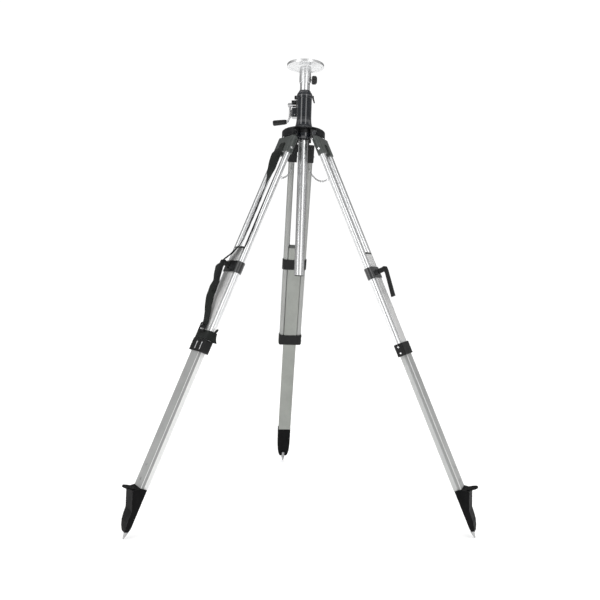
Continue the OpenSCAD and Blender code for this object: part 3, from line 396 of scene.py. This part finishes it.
enamel = {
    "colour": (0.0040, 0.0056, 0.0088), "faded": (0.0060, 0.0078, 0.0112), "bare": (0.30, 0.30, 0.31),
    "rough": (0.15, 0.21), "coat": 1.0, "coatRough": 0.06, "gloss": 0.45,
    "peel": {"Fine": 420.0, "Broad": 18.0}, "bump": 0.012, "depth": 0.0002,
    "wear": {"Radius": 0.0012, "Breakup": 160.0, "Amount": 0.25}, "bareMetal": 0.9,
    "marks": {"Scale": 18.0, "Amount": 0.2}, "markRough": 0.18,
}


def glossEnamel(name, look):
    material, tree, shader = newFinish(
        name, look["colour"], look["rough"][0], Coat_Weight=look["coat"],
        Coat_Roughness=look["coatRough"], Specular_IOR_Level=look["gloss"])
    peel = useGroup(tree, castGrain, **look["peel"])
    wear = useGroup(tree, edgeWear, **look["wear"])
    marks = useGroup(tree, scratches, **look["marks"])
    paint = mixColours(tree, peel["Mottle"], look["colour"], look["faded"])
    paint = mixColours(tree, wear["Mask"], paint, look["bare"])
    tree.links.new(paint, shader.inputs["Base Color"])
    bare = mathNode(tree, "MULTIPLY", wear["Mask"], look["bareMetal"])
    tree.links.new(bare, shader.inputs["Metallic"])
    setRough(tree, shader, peel["Mottle"], look["rough"], marks=marks["Mask"], markRough=look["markRough"])
    addBump(tree, shader, peel["Height"], look["bump"], look["depth"])
    return material


barMetal = {
    "polishedRail": {
        "colour": (0.80, 0.805, 0.81), "stained": (0.72, 0.73, 0.735), "worn": (0.86, 0.86, 0.86),
        "rough": (0.27, 0.33), "metal": 1.0, "lines": {"Across": 420.0, "Along": 2.0}, "bump": 0.012},
    # darker copy of the polished rail for the rear leg: painted shade
    "dullRail": {
        "colour": (0.35, 0.355, 0.345), "stained": (0.315, 0.32, 0.31), "worn": (0.50, 0.50, 0.50),
        "rough": (0.42, 0.50), "metal": 0.8, "lines": {"Across": 420.0, "Along": 2.0}, "bump": 0.02},
    "polishedColumn": {
        "colour": (0.84, 0.845, 0.85), "stained": (0.77, 0.775, 0.78), "worn": (0.90, 0.90, 0.90),
        "rough": (0.25, 0.30), "metal": 1.0, "lines": {"Across": 380.0, "Along": 2.0}, "bump": 0.01},
    "greyAnodised": {
        "colour": (0.46, 0.465, 0.46), "stained": (0.41, 0.415, 0.41), "worn": (0.52, 0.52, 0.52),
        "rough": (0.42, 0.52), "metal": 0.55, "lines": {"Across": 420.0, "Along": 1.5}, "bump": 0.04},
    # darker copy of the grey anodised tube for the rear leg: painted shade
    "shadedAnodised": {
        "colour": (0.305, 0.315, 0.295), "stained": (0.27, 0.28, 0.262), "worn": (0.40, 0.40, 0.39),
        "rough": (0.44, 0.54), "metal": 0.6, "lines": {"Across": 420.0, "Along": 1.5}, "bump": 0.04},
    "brushedSteel": {
        "colour": (0.58, 0.58, 0.59), "stained": (0.46, 0.46, 0.46), "worn": (0.75, 0.75, 0.75),
        "rough": (0.26, 0.42), "metal": 1.0, "lines": {"Across": 1600.0, "Along": 30.0}, "bump": 0.06},
    "pointSteel": {
        "colour": (0.47, 0.47, 0.475), "stained": (0.36, 0.36, 0.36), "worn": (0.45, 0.45, 0.45),
        "rough": (0.34, 0.48), "metal": 1.0, "lines": {"Across": 1600.0, "Along": 30.0}, "bump": 0.06},
    "bearingBronze": {
        "colour": (0.55, 0.40, 0.19), "stained": (0.38, 0.26, 0.12), "worn": (0.72, 0.58, 0.34),
        "rough": (0.24, 0.40), "metal": 1.0, "lines": {"Across": 200.0, "Along": 2400.0}, "bump": 0.06},
}
barSurface = {
    "lineSpan": (0.25, 0.75), "depth": 0.0002,
    "wear": {"Radius": 0.0008, "Breakup": 90.0, "Amount": 0.25},
    "marks": {"Scale": 18.0, "Amount": 0.3}, "markRough": 0.12,
}
# painted light for the front legs' inner tubes: groove colour is painted shade, the per-side halves and the
# corner colour are painted highlights, and the upper colour is a painted lift of the shade
tubePaintedLight = {
    "bright": (0.79, 0.79, 0.785), "shadeLiftTo": 0.91, "fade": 0.02,      # metres down the leg
    "groove": (0.31, 0.315, 0.31), "grooveShadeFrom": 0.0236,
    "paintedLitHalf": {"left": (0.76, 0.76, 0.755), "right": (0.49, 0.495, 0.49)},
    "corner": (0.70, 0.70, 0.695), "cornerHighlightFrom": (0.0122, 0.0268),      # out and sideways
    "soft": 0.0008,
}


def paintTubeLight(tree, vector, metal, side, look):
    # painted light on the front legs' tubes: painted shade on the outer half of each side groove, a painted
    # highlight on the inner half and along the front corners, and a painted lift of the shade higher up the
    # leg, where the clamp slides
    place, soft = splitNode(tree, vector), look["soft"]
    beside = mathNode(tree, "ABSOLUTE", place["Y"])
    # painted shade on the outer half of the side grooves and a painted highlight on the inner half, lighter
    # on the left leg than on the right
    litHalf = rampNode(tree, place["X"], soft, -soft)
    groove = mixColours(tree, litHalf, look["groove"], look["paintedLitHalf"][side])
    sides = rampNode(tree, beside, look["grooveShadeFrom"], look["grooveShadeFrom"] + soft)
    metal = mixColours(tree, sides, metal, groove)
    # painted highlight along the front corners
    front, edge = look["cornerHighlightFrom"]
    corner = mathNode(tree, "MULTIPLY", rampNode(tree, place["X"], front, front + soft),
                      rampNode(tree, beside, edge, edge + soft))
    metal = mixColours(tree, corner, metal, look["corner"])
    # painted lift of the shade on the upper part of the tube
    shadeLiftMask = rampNode(tree, place["Z"], -look["shadeLiftTo"] - look["fade"], -look["shadeLiftTo"])
    return mixColours(tree, shadeLiftMask, metal, look["bright"])


def drawnBar(name, look, leg=None, rub=None):
    material, tree, shader = newFinish(name, look["colour"], look["rough"][0], look["metal"])
    vector = coordinates(tree)
    if leg:  # turned so that Z runs up the leg from its hinge
        turned = addNode(tree, "ShaderNodeMapping", vector_type="TEXTURE")
        axes = Matrix((leg["out"], leg["along"], -leg["down"])).transposed()
        turned.inputs["Rotation"].default_value = axes.to_euler()
        turned.inputs["Location"].default_value = leg["hinge"]
        tree.links.new(vector, turned.inputs["Vector"])
        vector = turned.outputs["Vector"]
    lines = useGroup(tree, drawLines, vector, **look["lines"])
    marks = useGroup(tree, scratches, **barSurface["marks"])
    wear = useGroup(tree, edgeWear, **barSurface["wear"])
    metal = mixColours(tree, lines["Stain"], look["colour"], look["stained"])
    # painted shade and painted highlights on the front legs' tubes
    if rub:
        metal = paintTubeLight(tree, vector, metal, leg["side"], rub)
    metal = mixColours(tree, wear["Mask"], metal, look["worn"])
    tree.links.new(metal, shader.inputs["Base Color"])
    setRough(tree, shader, lines["Lines"], look["rough"], barSurface["lineSpan"],
             marks["Mask"], barSurface["markRough"])
    addBump(tree, shader, lines["Lines"], look["bump"], barSurface["depth"])
    return material


turnedFace = {
    "colour": (0.76, 0.765, 0.77), "groove": (0.72, 0.725, 0.73), "worn": (0.86, 0.86, 0.86),
    "rough": (0.36, 0.42), "bump": 0.02, "depth": 0.0002,
    "rings": {"Scale": 0.314 / 0.0044, "Distortion": 0.05, "Detail": 2.0},      # one groove each 4.4 mm
    "wear": {"Radius": 0.0012, "Breakup": 110.0, "Amount": 0.25},
    "marks": {"Scale": 14.0, "Amount": 0.25}, "markRough": 0.15,
}


def turnedMetal(name, look):
    material, tree, shader = newFinish(name, look["colour"], look["rough"][0], metal=1.0)
    rings = addNode(tree, "ShaderNodeTexWave", look["rings"], wave_type="RINGS", rings_direction="Z")
    tree.links.new(coordinates(tree), rings.inputs["Vector"])
    grooves = rings.outputs["Fac"]
    wear = useGroup(tree, edgeWear, **look["wear"])
    marks = useGroup(tree, scratches, **look["marks"])
    metal = mixColours(tree, grooves, look["colour"], look["groove"])
    metal = mixColours(tree, wear["Mask"], metal, look["worn"])
    tree.links.new(metal, shader.inputs["Base Color"])
    setRough(tree, shader, grooves, look["rough"], marks=marks["Mask"], markRough=look["markRough"])
    addBump(tree, shader, grooves, look["bump"], look["depth"])
    return material


plating = {
    "brightPlate": {"colour": (0.80, 0.80, 0.81), "dull": (0.66, 0.66, 0.67), "rough": (0.16, 0.28)},
    "crankPlate": {"colour": (0.62, 0.62, 0.63), "dull": (0.52, 0.52, 0.53), "rough": (0.22, 0.32)},
    "blackedSteel": {"colour": (0.030, 0.031, 0.034), "dull": (0.055, 0.055, 0.058), "rough": (0.32, 0.46)},
}
plateSurface = {
    "spots": {"Fine": 1500.0, "Broad": 160.0}, "bump": 0.04, "depth": 0.0001,
    "wear": {"Radius": 0.0006, "Breakup": 300.0, "Amount": 0.5}, "worn": (0.80, 0.80, 0.80),
    "marks": {"Scale": 70.0, "Amount": 0.6}, "markRough": 0.15,
}


def platedSteel(name, look):
    material, tree, shader = newFinish(name, look["colour"], look["rough"][0], metal=1.0)
    spots = useGroup(tree, castGrain, **plateSurface["spots"])
    wear = useGroup(tree, edgeWear, **plateSurface["wear"])
    marks = useGroup(tree, scratches, **plateSurface["marks"])
    metal = mixColours(tree, spots["Mottle"], look["colour"], look["dull"])
    metal = mixColours(tree, wear["Mask"], metal, plateSurface["worn"])
    tree.links.new(metal, shader.inputs["Base Color"])
    setRough(tree, shader, spots["Mottle"], look["rough"], marks=marks["Mask"],
             markRough=plateSurface["markRough"])
    addBump(tree, shader, spots["Height"], plateSurface["bump"], plateSurface["depth"])
    return material


moulding = {
    "mouldedPlastic": {
        "colour": (0.0065, 0.0068, 0.0070), "scuffed": (0.022, 0.0225, 0.023), "rough": (0.36, 0.48),
        "bump": 0.14, "coat": 0.0, "gloss": 0.22},
    "greyMoulding": {
        "colour": (0.013, 0.014, 0.0145), "scuffed": (0.034, 0.035, 0.036), "rough": (0.32, 0.44),
        "bump": 0.06, "coat": 0.8, "gloss": 0.45},
    "capMoulding": {
        "colour": (0.070, 0.073, 0.070), "scuffed": (0.11, 0.113, 0.11), "rough": (0.40, 0.50),
        "bump": 0.08, "coat": 0.0, "gloss": 0.35},
    "glossKnob": {
        "colour": (0.0055, 0.0055, 0.006), "scuffed": (0.018, 0.018, 0.020), "rough": (0.18, 0.28),
        "bump": 0.05, "coat": 0.25, "gloss": 0.30},
}
mouldSurface = {
    "grain": {"Fine": 2200.0, "Broad": 70.0}, "depth": 0.00025, "coatRough": 0.12,
    "wear": {"Radius": 0.0014, "Breakup": 150.0, "Amount": 0.8},
    "marks": {"Scale": 55.0, "Amount": 0.35},
}


def mouldedPlastic(name, look):
    material, tree, shader = newFinish(
        name, look["colour"], look["rough"][0], Coat_Weight=look["coat"],
        Coat_Roughness=mouldSurface["coatRough"], Specular_IOR_Level=look["gloss"])
    grain = useGroup(tree, castGrain, **mouldSurface["grain"])
    wear = useGroup(tree, edgeWear, **mouldSurface["wear"])
    marks = useGroup(tree, scratches, **mouldSurface["marks"])
    scuffs = mathNode(tree, "MAXIMUM", wear["Mask"], marks["Mask"])
    tree.links.new(mixColours(tree, scuffs, look["colour"], look["scuffed"]), shader.inputs["Base Color"])
    setRough(tree, shader, grain["Mottle"], look["rough"])
    addBump(tree, shader, grain["Height"], look["bump"], mouldSurface["depth"])
    return material


webbingLook = {
    "yarn": (0.0125, 0.0150, 0.0135), "gap": (0.0040, 0.0047, 0.0043), "faded": (0.022, 0.025, 0.023),
    "weave": {"Rib": 0.0019, "Pick": 0.0013}, "bump": 0.55, "depth": 0.0005,
    "fade": {"Fine": 300.0, "Broad": 22.0}, "fadeShare": 0.35,
    "rough": (0.88, 0.66), "sheen": 0.03, "sheenRough": 0.5, "gloss": 0.15,
}


def wovenWebbing(name, look):
    material, tree, shader = newFinish(
        name, look["yarn"], look["rough"][0], Sheen_Weight=look["sheen"],
        Sheen_Roughness=look["sheenRough"], Specular_IOR_Level=look["gloss"])
    weave = useGroup(tree, webWeave, **look["weave"])
    fade = useGroup(tree, castGrain, **look["fade"])
    cloth = mixColours(tree, weave["Shade"], look["gap"], look["yarn"])
    share = mathNode(tree, "MULTIPLY", fade["Mottle"], look["fadeShare"])
    tree.links.new(mixColours(tree, share, cloth, look["faded"]), shader.inputs["Base Color"])
    setRough(tree, shader, weave["Shade"], look["rough"])
    addBump(tree, shader, weave["Height"], look["bump"], look["depth"])
    return material


finishes = {name: paintedCasting(name, look) for name, look in castPaint.items()}
finishes["glossEnamel"] = glossEnamel("glossEnamel", enamel)
finishes["turnedMetal"] = turnedMetal("turnedMetal", turnedFace)
finishes.update({name: platedSteel(name, look) for name, look in plating.items()})
finishes.update({name: mouldedPlastic(name, look) for name, look in moulding.items()})
for name in ("polishedColumn", "brushedSteel", "pointSteel", "bearingBronze"):
    finishes[name] = drawnBar(name, barMetal[name])
for side, leg in legs.items():  # the rear leg's rails and tube get darker, duller copies of the front legs' finishes, the darker colour being painted shade; the front legs' tubes get painted light
    rail, tube, rub = (("dullRail", "shadedAnodised", None) if side == "rear"
                       else ("polishedRail", "greyAnodised", tubePaintedLight))
    finishes[side + "Rail"] = drawnBar(side + "Rail", barMetal[rail], leg)
    finishes[side + "Tube"] = drawnBar(side + "Tube", barMetal[tube], leg, rub)
finishes["webbing"] = wovenWebbing("webbing", webbingLook)
print("finishes made,", len(finishes))

headFinish = {
    "dome_casting": "blackPaint", "gearbox_cover": "blackPaint",
    "hub_nut": "glossEnamel", "gear_housing": "glossEnamel", "guide_cap": "glossEnamel",
    "upper_bush": "mouldedPlastic", "lower_bush": "mouldedPlastic", "column_plug": "mouldedPlastic",
    "strap_buckle": "mouldedPlastic",
    "shaft_bush": "bearingBronze", "drive_pinion": "bearingBronze",
    "gearbox_screws": "brightPlate", "hinge_bolts": "blackedSteel",
    "lock_nut": "glossKnob", "lock_lever": "glossKnob", "brake_knob": "glossKnob",
    "socket_knob": "glossKnob", "crank_grip": "glossKnob",
    "column_tube": "polishedColumn", "head_plate": "turnedMetal", "plate_socket": "turnedMetal",
    "column_rack": "brushedSteel", "mounting_stud": "brushedSteel", "knob_screw": "brushedSteel",
    "crank_shaft": "brushedSteel", "crank_hub": "crankPlate", "crank_arm": "crankPlate",
}
legFinish = {
    "hinge_yoke": "yokePaint", "rails": "{side}Rail", "lower_collar": "mouldedPlastic",
    "leg_fixings": "brightPlate", "inner_tube": "{side}Tube", "inner_cap": "capMoulding",
    "clamp_collar": "greyMoulding", "clamp_lever": "mouldedPlastic", "foot": "shoePaint",
    "foot_hardware": "pointSteel",
}
# the rear leg's yoke and clamp collar take darker finishes than the same parts on the front legs: painted
# shade
rearShadeFinish = {"rear_hinge_yoke": "blackPaint", "rear_clamp_collar": "mouldedPlastic"}


def dress(node, finish):
    slots = nodes[node].data.materials
    slots.clear()
    slots.append(finishes[finish])


for node, finish in headFinish.items():
    dress(node, finish)
for side in legs:
    for piece, finish in legFinish.items():
        dress(side + "_" + piece, finish.format(side=side))
for node, finish in rearShadeFinish.items():
    dress(node, finish)
print("nodes dressed")


# mesh helpers

def meshObject(name, points, faces, finish, uvs=None):
    mesh = bpy.data.meshes.new(name)
    mesh.from_pydata([tuple(p) for p in points], [], faces)
    if uvs:
        layer = mesh.uv_layers.new(name="weave")
        for loop in mesh.loops:
            layer.data[loop.index].uv = uvs[loop.vertex_index]
    mesh.polygons.foreach_set("use_smooth", [True] * len(mesh.polygons))
    mesh.materials.append(finishes[finish])
    mesh.update()
    obj = bpy.data.objects.new(name, mesh)
    scene.collection.objects.link(obj)
    return obj


def ringFaces(rings, size, closed=False, first=0):
    # quads between rings of points; an open run gets two end caps
    faces = []
    for k in range(rings if closed else rings - 1):
        here, ahead = first + k * size, first + (k + 1) % rings * size
        for c in range(size):
            d = (c + 1) % size
            if closed:
                faces.append((here + c, ahead + c, ahead + d, here + d))
            else:
                faces.append((here + c, here + d, ahead + d, ahead + c))
    if not closed:
        last = first + (rings - 1) * size
        faces.append(tuple(range(first, first + size))[::-1])
        faces.append(tuple(range(last, last + size)))
    return faces


def smoothPath(values, count):
    # even samples on a curve through the given rows
    rows = np.array(values, float)
    rows = np.vstack([2 * rows[0] - rows[1], rows, 2 * rows[-1] - rows[-2]])
    spans = len(rows) - 3
    samples = []
    for k in range(count):
        place = k / (count - 1) * spans
        i = min(int(place), spans - 1)
        u = place - i
        a, b, c, d = rows[i:i + 4]
        samples.append(0.5 * (2 * b + (c - a) * u + (2 * a - 5 * b + 4 * c - d) * u ** 2
                              + (3 * b - a - 3 * c + d) * u ** 3))
    return np.array(samples)


# shoulder strap, laid along the stations of its solid
strapCut = {
    "width": 0.038, "thick": 0.0019, "samples": 150,
    "cup": 0.0008,          # how far the middle stands off the edges
    "flatShare": 0.96, "flatPoints": 9, "edgeIn": 0.00014,
    "ripple": 0.0006, "rippleCount": 23,
    "ringGap": 0.001,       # corners closer than this down the leg are one ring
    "splitAt": 0.675,       # where the two lengths meet, behind the lever's hub
    "heldTop": 4, "heldLow": 12,
}


def strapStations(node, leg, cut):
    rings = []
    for p in sorted(legRows(leg, node).tolist(), key=lambda p: p[2]):
        if not rings or p[2] - rings[-1][0][2] > cut["ringGap"]:
            rings.append([])
        rings[-1].append(p)
    stations, lastAcross = [], Vector((0, 1, 0))
    for ring in (np.array(r) for r in rings):
        middle = (ring.min(0) + ring.max(0)) / 2
        across = Vector(np.linalg.svd(ring - middle)[2][0]).normalized()
        if across.dot(lastAcross) < 0:
            across = -across
        lastAcross = across
        stations.append(list(middle) + list(across))
    return stations


def webbingSection(cut):
    half, thick = cut["width"] / 2, cut["thick"] / 2
    spread = np.linspace(-cut["flatShare"], cut["flatShare"], cut["flatPoints"])
    top = [(half * s, thick + cut["cup"] * (1 - s * s)) for s in spread]
    low = [(x, y - 2 * thick) for x, y in reversed(top)]
    right = [(half - cut["edgeIn"], thick / 2), (half, 0.0), (half - cut["edgeIn"], -thick / 2)]
    left = [(-x, -y) for x, y in right]
    return top + right + low + left


def buildWebbing(name, rows, leg, cut):
    section = webbingSection(cut)
    points, uvs = [], []
    run = 0.0
    for k, row in enumerate(rows):
        middle, across = Vector(row[:3]), Vector(row[3:6]).normalized()
        ahead = Vector(rows[min(k + 1, len(rows) - 1)][:3]) - Vector(rows[max(k - 1, 0)][:3])
        if k:
            run += (middle - Vector(rows[k - 1][:3])).length
        ahead.normalize()
        across = (across - ahead * across.dot(ahead)).normalized()
        outward = across.cross(ahead) * (1 if across.cross(ahead).x >= 0 else -1)
        wave = cut["ripple"] * math.sin(run * cut["rippleCount"] * 2 * math.pi)
        for x, y in section:
            local = middle + across * x + outward * (y + wave)
            points.append(legPoint(leg, *local))
            uvs.append((x + cut["width"] / 2, run))
    obj = meshObject(name, points, ringFaces(len(rows), len(section)), "webbing", uvs)
    return obj


strapRows = smoothPath(strapStations("shoulder_strap", leftLeg, strapCut), strapCut["samples"])
strapDrop = (strapRows[:, 2] - strapRows[0][2]) / (strapRows[-1][2] - strapRows[0][2])
split = int(np.argmax(strapDrop > strapCut["splitAt"]))
upperStrap = buildWebbing("upper_strap_webbing", strapRows[:split + 1], leftLeg, strapCut)
lowerStrap = buildWebbing("lower_strap_webbing", strapRows[split:], leftLeg, strapCut)
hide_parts("shoulder_strap")
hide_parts("shoulder_strap")
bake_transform(upperStrap)
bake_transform(lowerStrap)
print("strap laid")


# loop of webbing round the leg
bandCut = {
    "thick": 0.0019, "samples": 96, "rows": 7, "edgeThin": 0.6,
    "ripple": 0.0005, "rippleTurn": 160,
    "slackSide": 0.013, "slackIn": 0.012,    # how far the loose end hangs off the rail at its lower edge
    "slackFront": 0.3,                       # share of that on the front face
}


def loopPoint(run, straight, radius):
    # place and outward normal at a distance round two straights joined by half circles
    half = 2 * straight + math.pi * radius
    sign = 1 if run < half else -1
    run = run % half
    a = max(0.0, run - 2 * straight) / radius
    normal = Vector((math.cos(a), math.sin(a), 0))
    place = normal * radius + Vector((0, min(run, 2 * straight) - straight, 0))
    return place * sign, normal * sign


def buildBand(name, node, leg, cut):
    low, high = legBox(leg, node)
    middle, span = (low + high) / 2, high - low
    radius = (span[0] - cut["thick"]) / 2
    straight = (span[1] - cut["thick"]) / 2 - radius
    whole = 4 * straight + 2 * math.pi * radius
    heights = np.linspace(0.0, 1.0, cut["rows"])
    front = cut["slackFront"]
    points, uvs = [], []
    for k in range(cut["samples"]):
        run = whole * k / cut["samples"]
        place, normal = loopPoint(run, straight, radius)
        loose = max(0.0, place.y / (straight + radius)) ** 2
        behind = 0.5 - 0.5 * normal.x
        side = cut["slackSide"] * (front + (1 - front) * behind)
        slack = Vector((-cut["slackIn"] * behind, side, 0)) * loose
        wave = cut["ripple"] * math.sin(run * cut["rippleTurn"])
        for sign in (1, -1):
            for h in heights[::sign]:
                edge = 1.0 if 0 < h < 1 else cut["edgeThin"]
                out = sign * cut["thick"] / 2 * edge + wave
                local = place + normal * out + slack * h * h
                points.append(legPoint(leg, local.x + middle[0], local.y + middle[1], low[2] + span[2] * h))
                uvs.append((h * span[2], run))
    faces = ringFaces(cut["samples"], 2 * len(heights), closed=True)
    obj = meshObject(name, points, faces, "webbing", uvs)
    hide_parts(node)
    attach(obj, "left_upper_leg")


buildBand("strap_loop_webbing", "strap_band", leftLeg, bandCut)
print("strap loop built")


# sewn end of the loop, and bright plated strips on the left lower collar that stand in for painted
# highlights
barShape = {"points": 9, "rings": 8, "endRise": 0.08, "crown": 0.6}
endTab = {
    "long": 0.024, "wide": 0.016, "thick": 0.0042,
    "out": 0.0045, "rise": -0.0055, "lean": 38.0, "narrow": 0.6,
}
collarHighlightStrip = {
    "wide": 0.0052, "proud": 0.0014, "sink": 0.0002,
    "sides": (-0.008, 0.030), "from": 0.16, "to": 0.84,      # across the collar, and shares of its height
}


def roundedBar(length, width, height, shape):
    # low rounded bar along Z, flat underneath, with rounded ends
    rows, last = [], shape["points"] - 1
    for k in range(shape["rings"]):
        u = 0.5 - 0.5 * math.cos(math.pi * k / (shape["rings"] - 1))
        near = min(1.0, min(u, 1 - u) * length / (width / 2))
        swell = math.sqrt(1 - (1 - near) ** 2) * (1 - shape["endRise"]) + shape["endRise"]
        for j in range(shape["points"]):
            a = math.pi * j / last
            up = math.sin(a) ** shape["crown"] * height * swell if 0 < j < last else 0.0
            rows.append((up, -math.cos(a) * width / 2 * swell, (u - 0.5) * length))
    return rows, ringFaces(shape["rings"], shape["points"])


def sewnEnd(node, leg, look):
    low, high = legBox(leg, node)
    bar, faces = roundedBar(look["long"], look["wide"], look["thick"], barShape)
    lean = math.radians(look["lean"])
    points, uvs = [], []
    for x, y, z in bar:
        # stands off the loop's near end, leaning up the leg
        side = high[1] + look["out"] + x * math.cos(lean) - z * math.sin(lean)
        down = low[2] + look["rise"] + z * math.cos(lean) + x * math.sin(lean)
        points.append(legPoint(leg, y * look["narrow"], side, down))
        uvs.append((y + look["wide"] / 2, z + look["long"] / 2))
    obj = meshObject("strap_sewn_end", points, faces, "webbing", uvs)
    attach(obj, "left_upper_leg")


# two bright strips set where the lamps' highlights fall on the collar: painted highlights
def collarHighlightStrips(side, look):
    leg = legs[side]
    low, high = legBox(leg, side + "_lower_collar")
    height = high[2] - low[2]
    bar, barFaces = roundedBar(height * (look["to"] - look["from"]), look["wide"],
                               look["proud"] + look["sink"], barShape)
    middle = low[2] + height * (look["from"] + look["to"]) / 2
    points, faces = [], []
    for y in look["sides"]:
        first = len(points)
        points += [legPoint(leg, high[0] - look["sink"] + p[0], y + p[1], middle + p[2]) for p in bar]
        faces += [tuple(first + i for i in face) for face in barFaces]
    obj = meshObject(side + "_collar_highlight_strips", points, faces, "brightPlate")
    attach(obj, side + "_upper_leg")


sewnEnd("strap_band", leftLeg, endTab)
collarHighlightStrips("left", collarHighlightStrip)
print("trim fitted")


# slack chains, one welded link for each link of the solid
chainLink = {"wire": 0.0022, "ringPoints": 28, "wirePoints": 12, "weld": 1.25, "sameCorner": 1e-6}


def chainIslands(node, look):
    shape = bmesh.new()
    shape.from_mesh(nodes[node].data)
    bmesh.ops.remove_doubles(shape, verts=shape.verts, dist=look["sameCorner"])
    seen, islands = set(), []
    for vertex in shape.verts:
        if vertex in seen:
            continue
        stack, island = [vertex], []
        seen.add(vertex)
        while stack:
            v = stack.pop()
            island.append(tuple(v.co))
            for edge in v.link_edges:
                other = edge.other_vert(v)
                if other not in seen:
                    seen.add(other)
                    stack.append(other)
        islands.append(np.array(island))
    shape.free()
    return islands


def addLink(points, faces, island, look):
    middle = island.mean(0)
    axes = np.linalg.svd(island - middle)[2]
    halfLength, halfWidth = (np.ptp((island - middle) @ axes[k]) / 2 for k in (0, 1))
    radius = look["wire"] / 2
    bend = halfWidth - radius
    straight = halfLength - halfWidth
    first = len(points)
    ring, wire = look["ringPoints"], look["wirePoints"]
    for k in range(ring):
        a = 2 * math.pi * k / ring
        normal = np.array([math.cos(a), math.sin(a)])
        place = normal * bend + np.array([math.copysign(straight, math.cos(a)), 0.0])
        thick = radius * (look["weld"] if k == ring // 4 else 1.0)  # weld bead on one side
        for w in range(wire):
            b = 2 * math.pi * w / wire
            x, y = place + normal * thick * math.cos(b)
            points.append(middle + axes[0] * x + axes[1] * y + axes[2] * thick * math.sin(b))
    faces += ringFaces(ring, wire, closed=True, first=first)


def buildChains(node, look):
    runs = {}
    for island in chainIslands(node, look):
        middle = Vector(island.mean(0))
        frontSide = "left" if middle.x < 0 else "right"
        runs.setdefault(frontSide, []).append((middle, island))
    for frontSide, links in runs.items():
        links.sort(key=lambda link: link[0].y)
        half = len(links) // 2
        for side, part in ((frontSide, links[:half]), ("rear", links[half:])):
            points, faces = [], []
            for link in part:
                addLink(points, faces, link[1], look)
            name = frontSide + "_chain_" + ("front" if side == frontSide else "back")
            obj = meshObject(name, points, faces, "brightPlate")
            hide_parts(node)
            if side == frontSide:
                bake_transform(obj)
            else:
                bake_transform(obj)


buildChains("leg_chains", chainLink)
print("chains hung")


# studio
studio = {
    "glow": 0.24,                                # dim room all round
    "bandGlow": 0.75, "bandSpan": (0.27, 0.60),  # bright wall over the camera, as heights of the view line
    "bandBehind": 0.45,                          # how far round to the back it fades out
    "topGlow": 0.45, "topFrom": 0.80,
    "fade": 0.10,
    "paper": 1.05,                               # what the camera sees beyond the floor
    "sunPower": 2.6, "sunSpread": 80.0,
    "stripSize": (0.95, 3.8), "stripAim": (0.0, 0.0, 1.4),
    "floorSize": 30.0, "floorGap": 0.0002, "floorGlow": 0.42, "floorRough": 0.8,
    "floorColour": (0.60, 0.60, 0.598), "floorCloud": (0.62, 0.62, 0.62),
    "floorNoise": {"Scale": 1.5, "Detail": 3.0},
}
strips = {
    "left_strip": {"place": (-2.5, -2.1, 2.2), "power": 30.0},
    "right_strip": {"place": (1.25, -2.95, 2.2), "power": 25.0},
}
white = (1.0, 1.0, 1.0, 1.0)


def buildWorld(look):
    world = bpy.data.worlds.new("studio")
    world.use_nodes = True
    tree = world.node_tree
    surround = tree.nodes["Background"]
    surround.inputs["Color"].default_value = white
    view = splitNode(tree, coordinates(tree, "Generated"))
    height, fade = view["Z"], look["fade"]
    low, high = look["bandSpan"]
    band = mathNode(tree, "MULTIPLY", rampNode(tree, height, low, low + fade),
                    rampNode(tree, height, high, high - fade))
    band = mathNode(tree, "MULTIPLY", band, rampNode(tree, view["Y"], look["bandBehind"], 0.0))
    top = rampNode(tree, height, look["topFrom"] - fade, look["topFrom"] + fade)
    glow = mathNode(tree, "ADD", mathNode(tree, "MULTIPLY", band, look["bandGlow"]),
                    mathNode(tree, "MULTIPLY", top, look["topGlow"]))
    tree.links.new(mathNode(tree, "ADD", glow, look["glow"]), surround.inputs["Strength"])
    paper = addNode(tree, "ShaderNodeBackground", {"Color": white, "Strength": look["paper"]})
    rays = addNode(tree, "ShaderNodeLightPath")
    mix = addNode(tree, "ShaderNodeMixShader")
    tree.links.new(rays.outputs["Is Camera Ray"], mix.inputs[0])
    tree.links.new(surround.outputs[0], mix.inputs[1])
    tree.links.new(paper.outputs[0], mix.inputs[2])
    tree.links.new(mix.outputs[0], tree.nodes["World Output"].inputs["Surface"])
    scene.world = world


def buildFloor(look):
    half = look["floorSize"] / 2
    corners = [(-half, -half, 0), (half, -half, 0), (half, half, 0), (-half, half, 0)]
    mesh = bpy.data.meshes.new("studio_floor")
    mesh.from_pydata(corners, [], [(0, 1, 2, 3)])
    material, tree, shader = newFinish(
        "studioFloor", look["floorColour"], look["floorRough"],
        Emission_Strength=look["floorGlow"], Emission_Color=white)
    cloud = noiseNode(tree, coordinates(tree), look["floorNoise"])
    tree.links.new(mixColours(tree, cloud, look["floorColour"], look["floorCloud"]),
                   shader.inputs["Base Color"])
    mesh.materials.append(material)
    floor = bpy.data.objects.new("studio_floor", mesh)
    floor.location.z = cadBox[0].z - look["floorGap"]
    scene.collection.objects.link(floor)


def buildSun(look):
    light = bpy.data.lights.new("sky_panel", "SUN")
    light.energy = look["sunPower"]
    light.angle = math.radians(look["sunSpread"])
    sun = bpy.data.objects.new("sky_panel", light)
    sun.visible_glossy = False    # metal tops keep their detail
    scene.collection.objects.link(sun)


def buildStrip(name, place, power, look):
    light = bpy.data.lights.new(name, "AREA")
    light.shape = "RECTANGLE"
    light.size, light.size_y = look["stripSize"]
    light.energy = power
    strip = bpy.data.objects.new(name, light)
    strip.location = place
    strip.rotation_mode = "QUATERNION"
    strip.rotation_quaternion = (Vector(look["stripAim"]) - Vector(place)).to_track_quat("-Z", "Y")
    scene.collection.objects.link(strip)


buildWorld(studio)
buildFloor(studio)
buildSun(studio)
for name, strip in strips.items():
    buildStrip(name, strip["place"], strip["power"], studio)
scene.view_settings.view_transform = "Standard"
print("studio lit")

print("done")
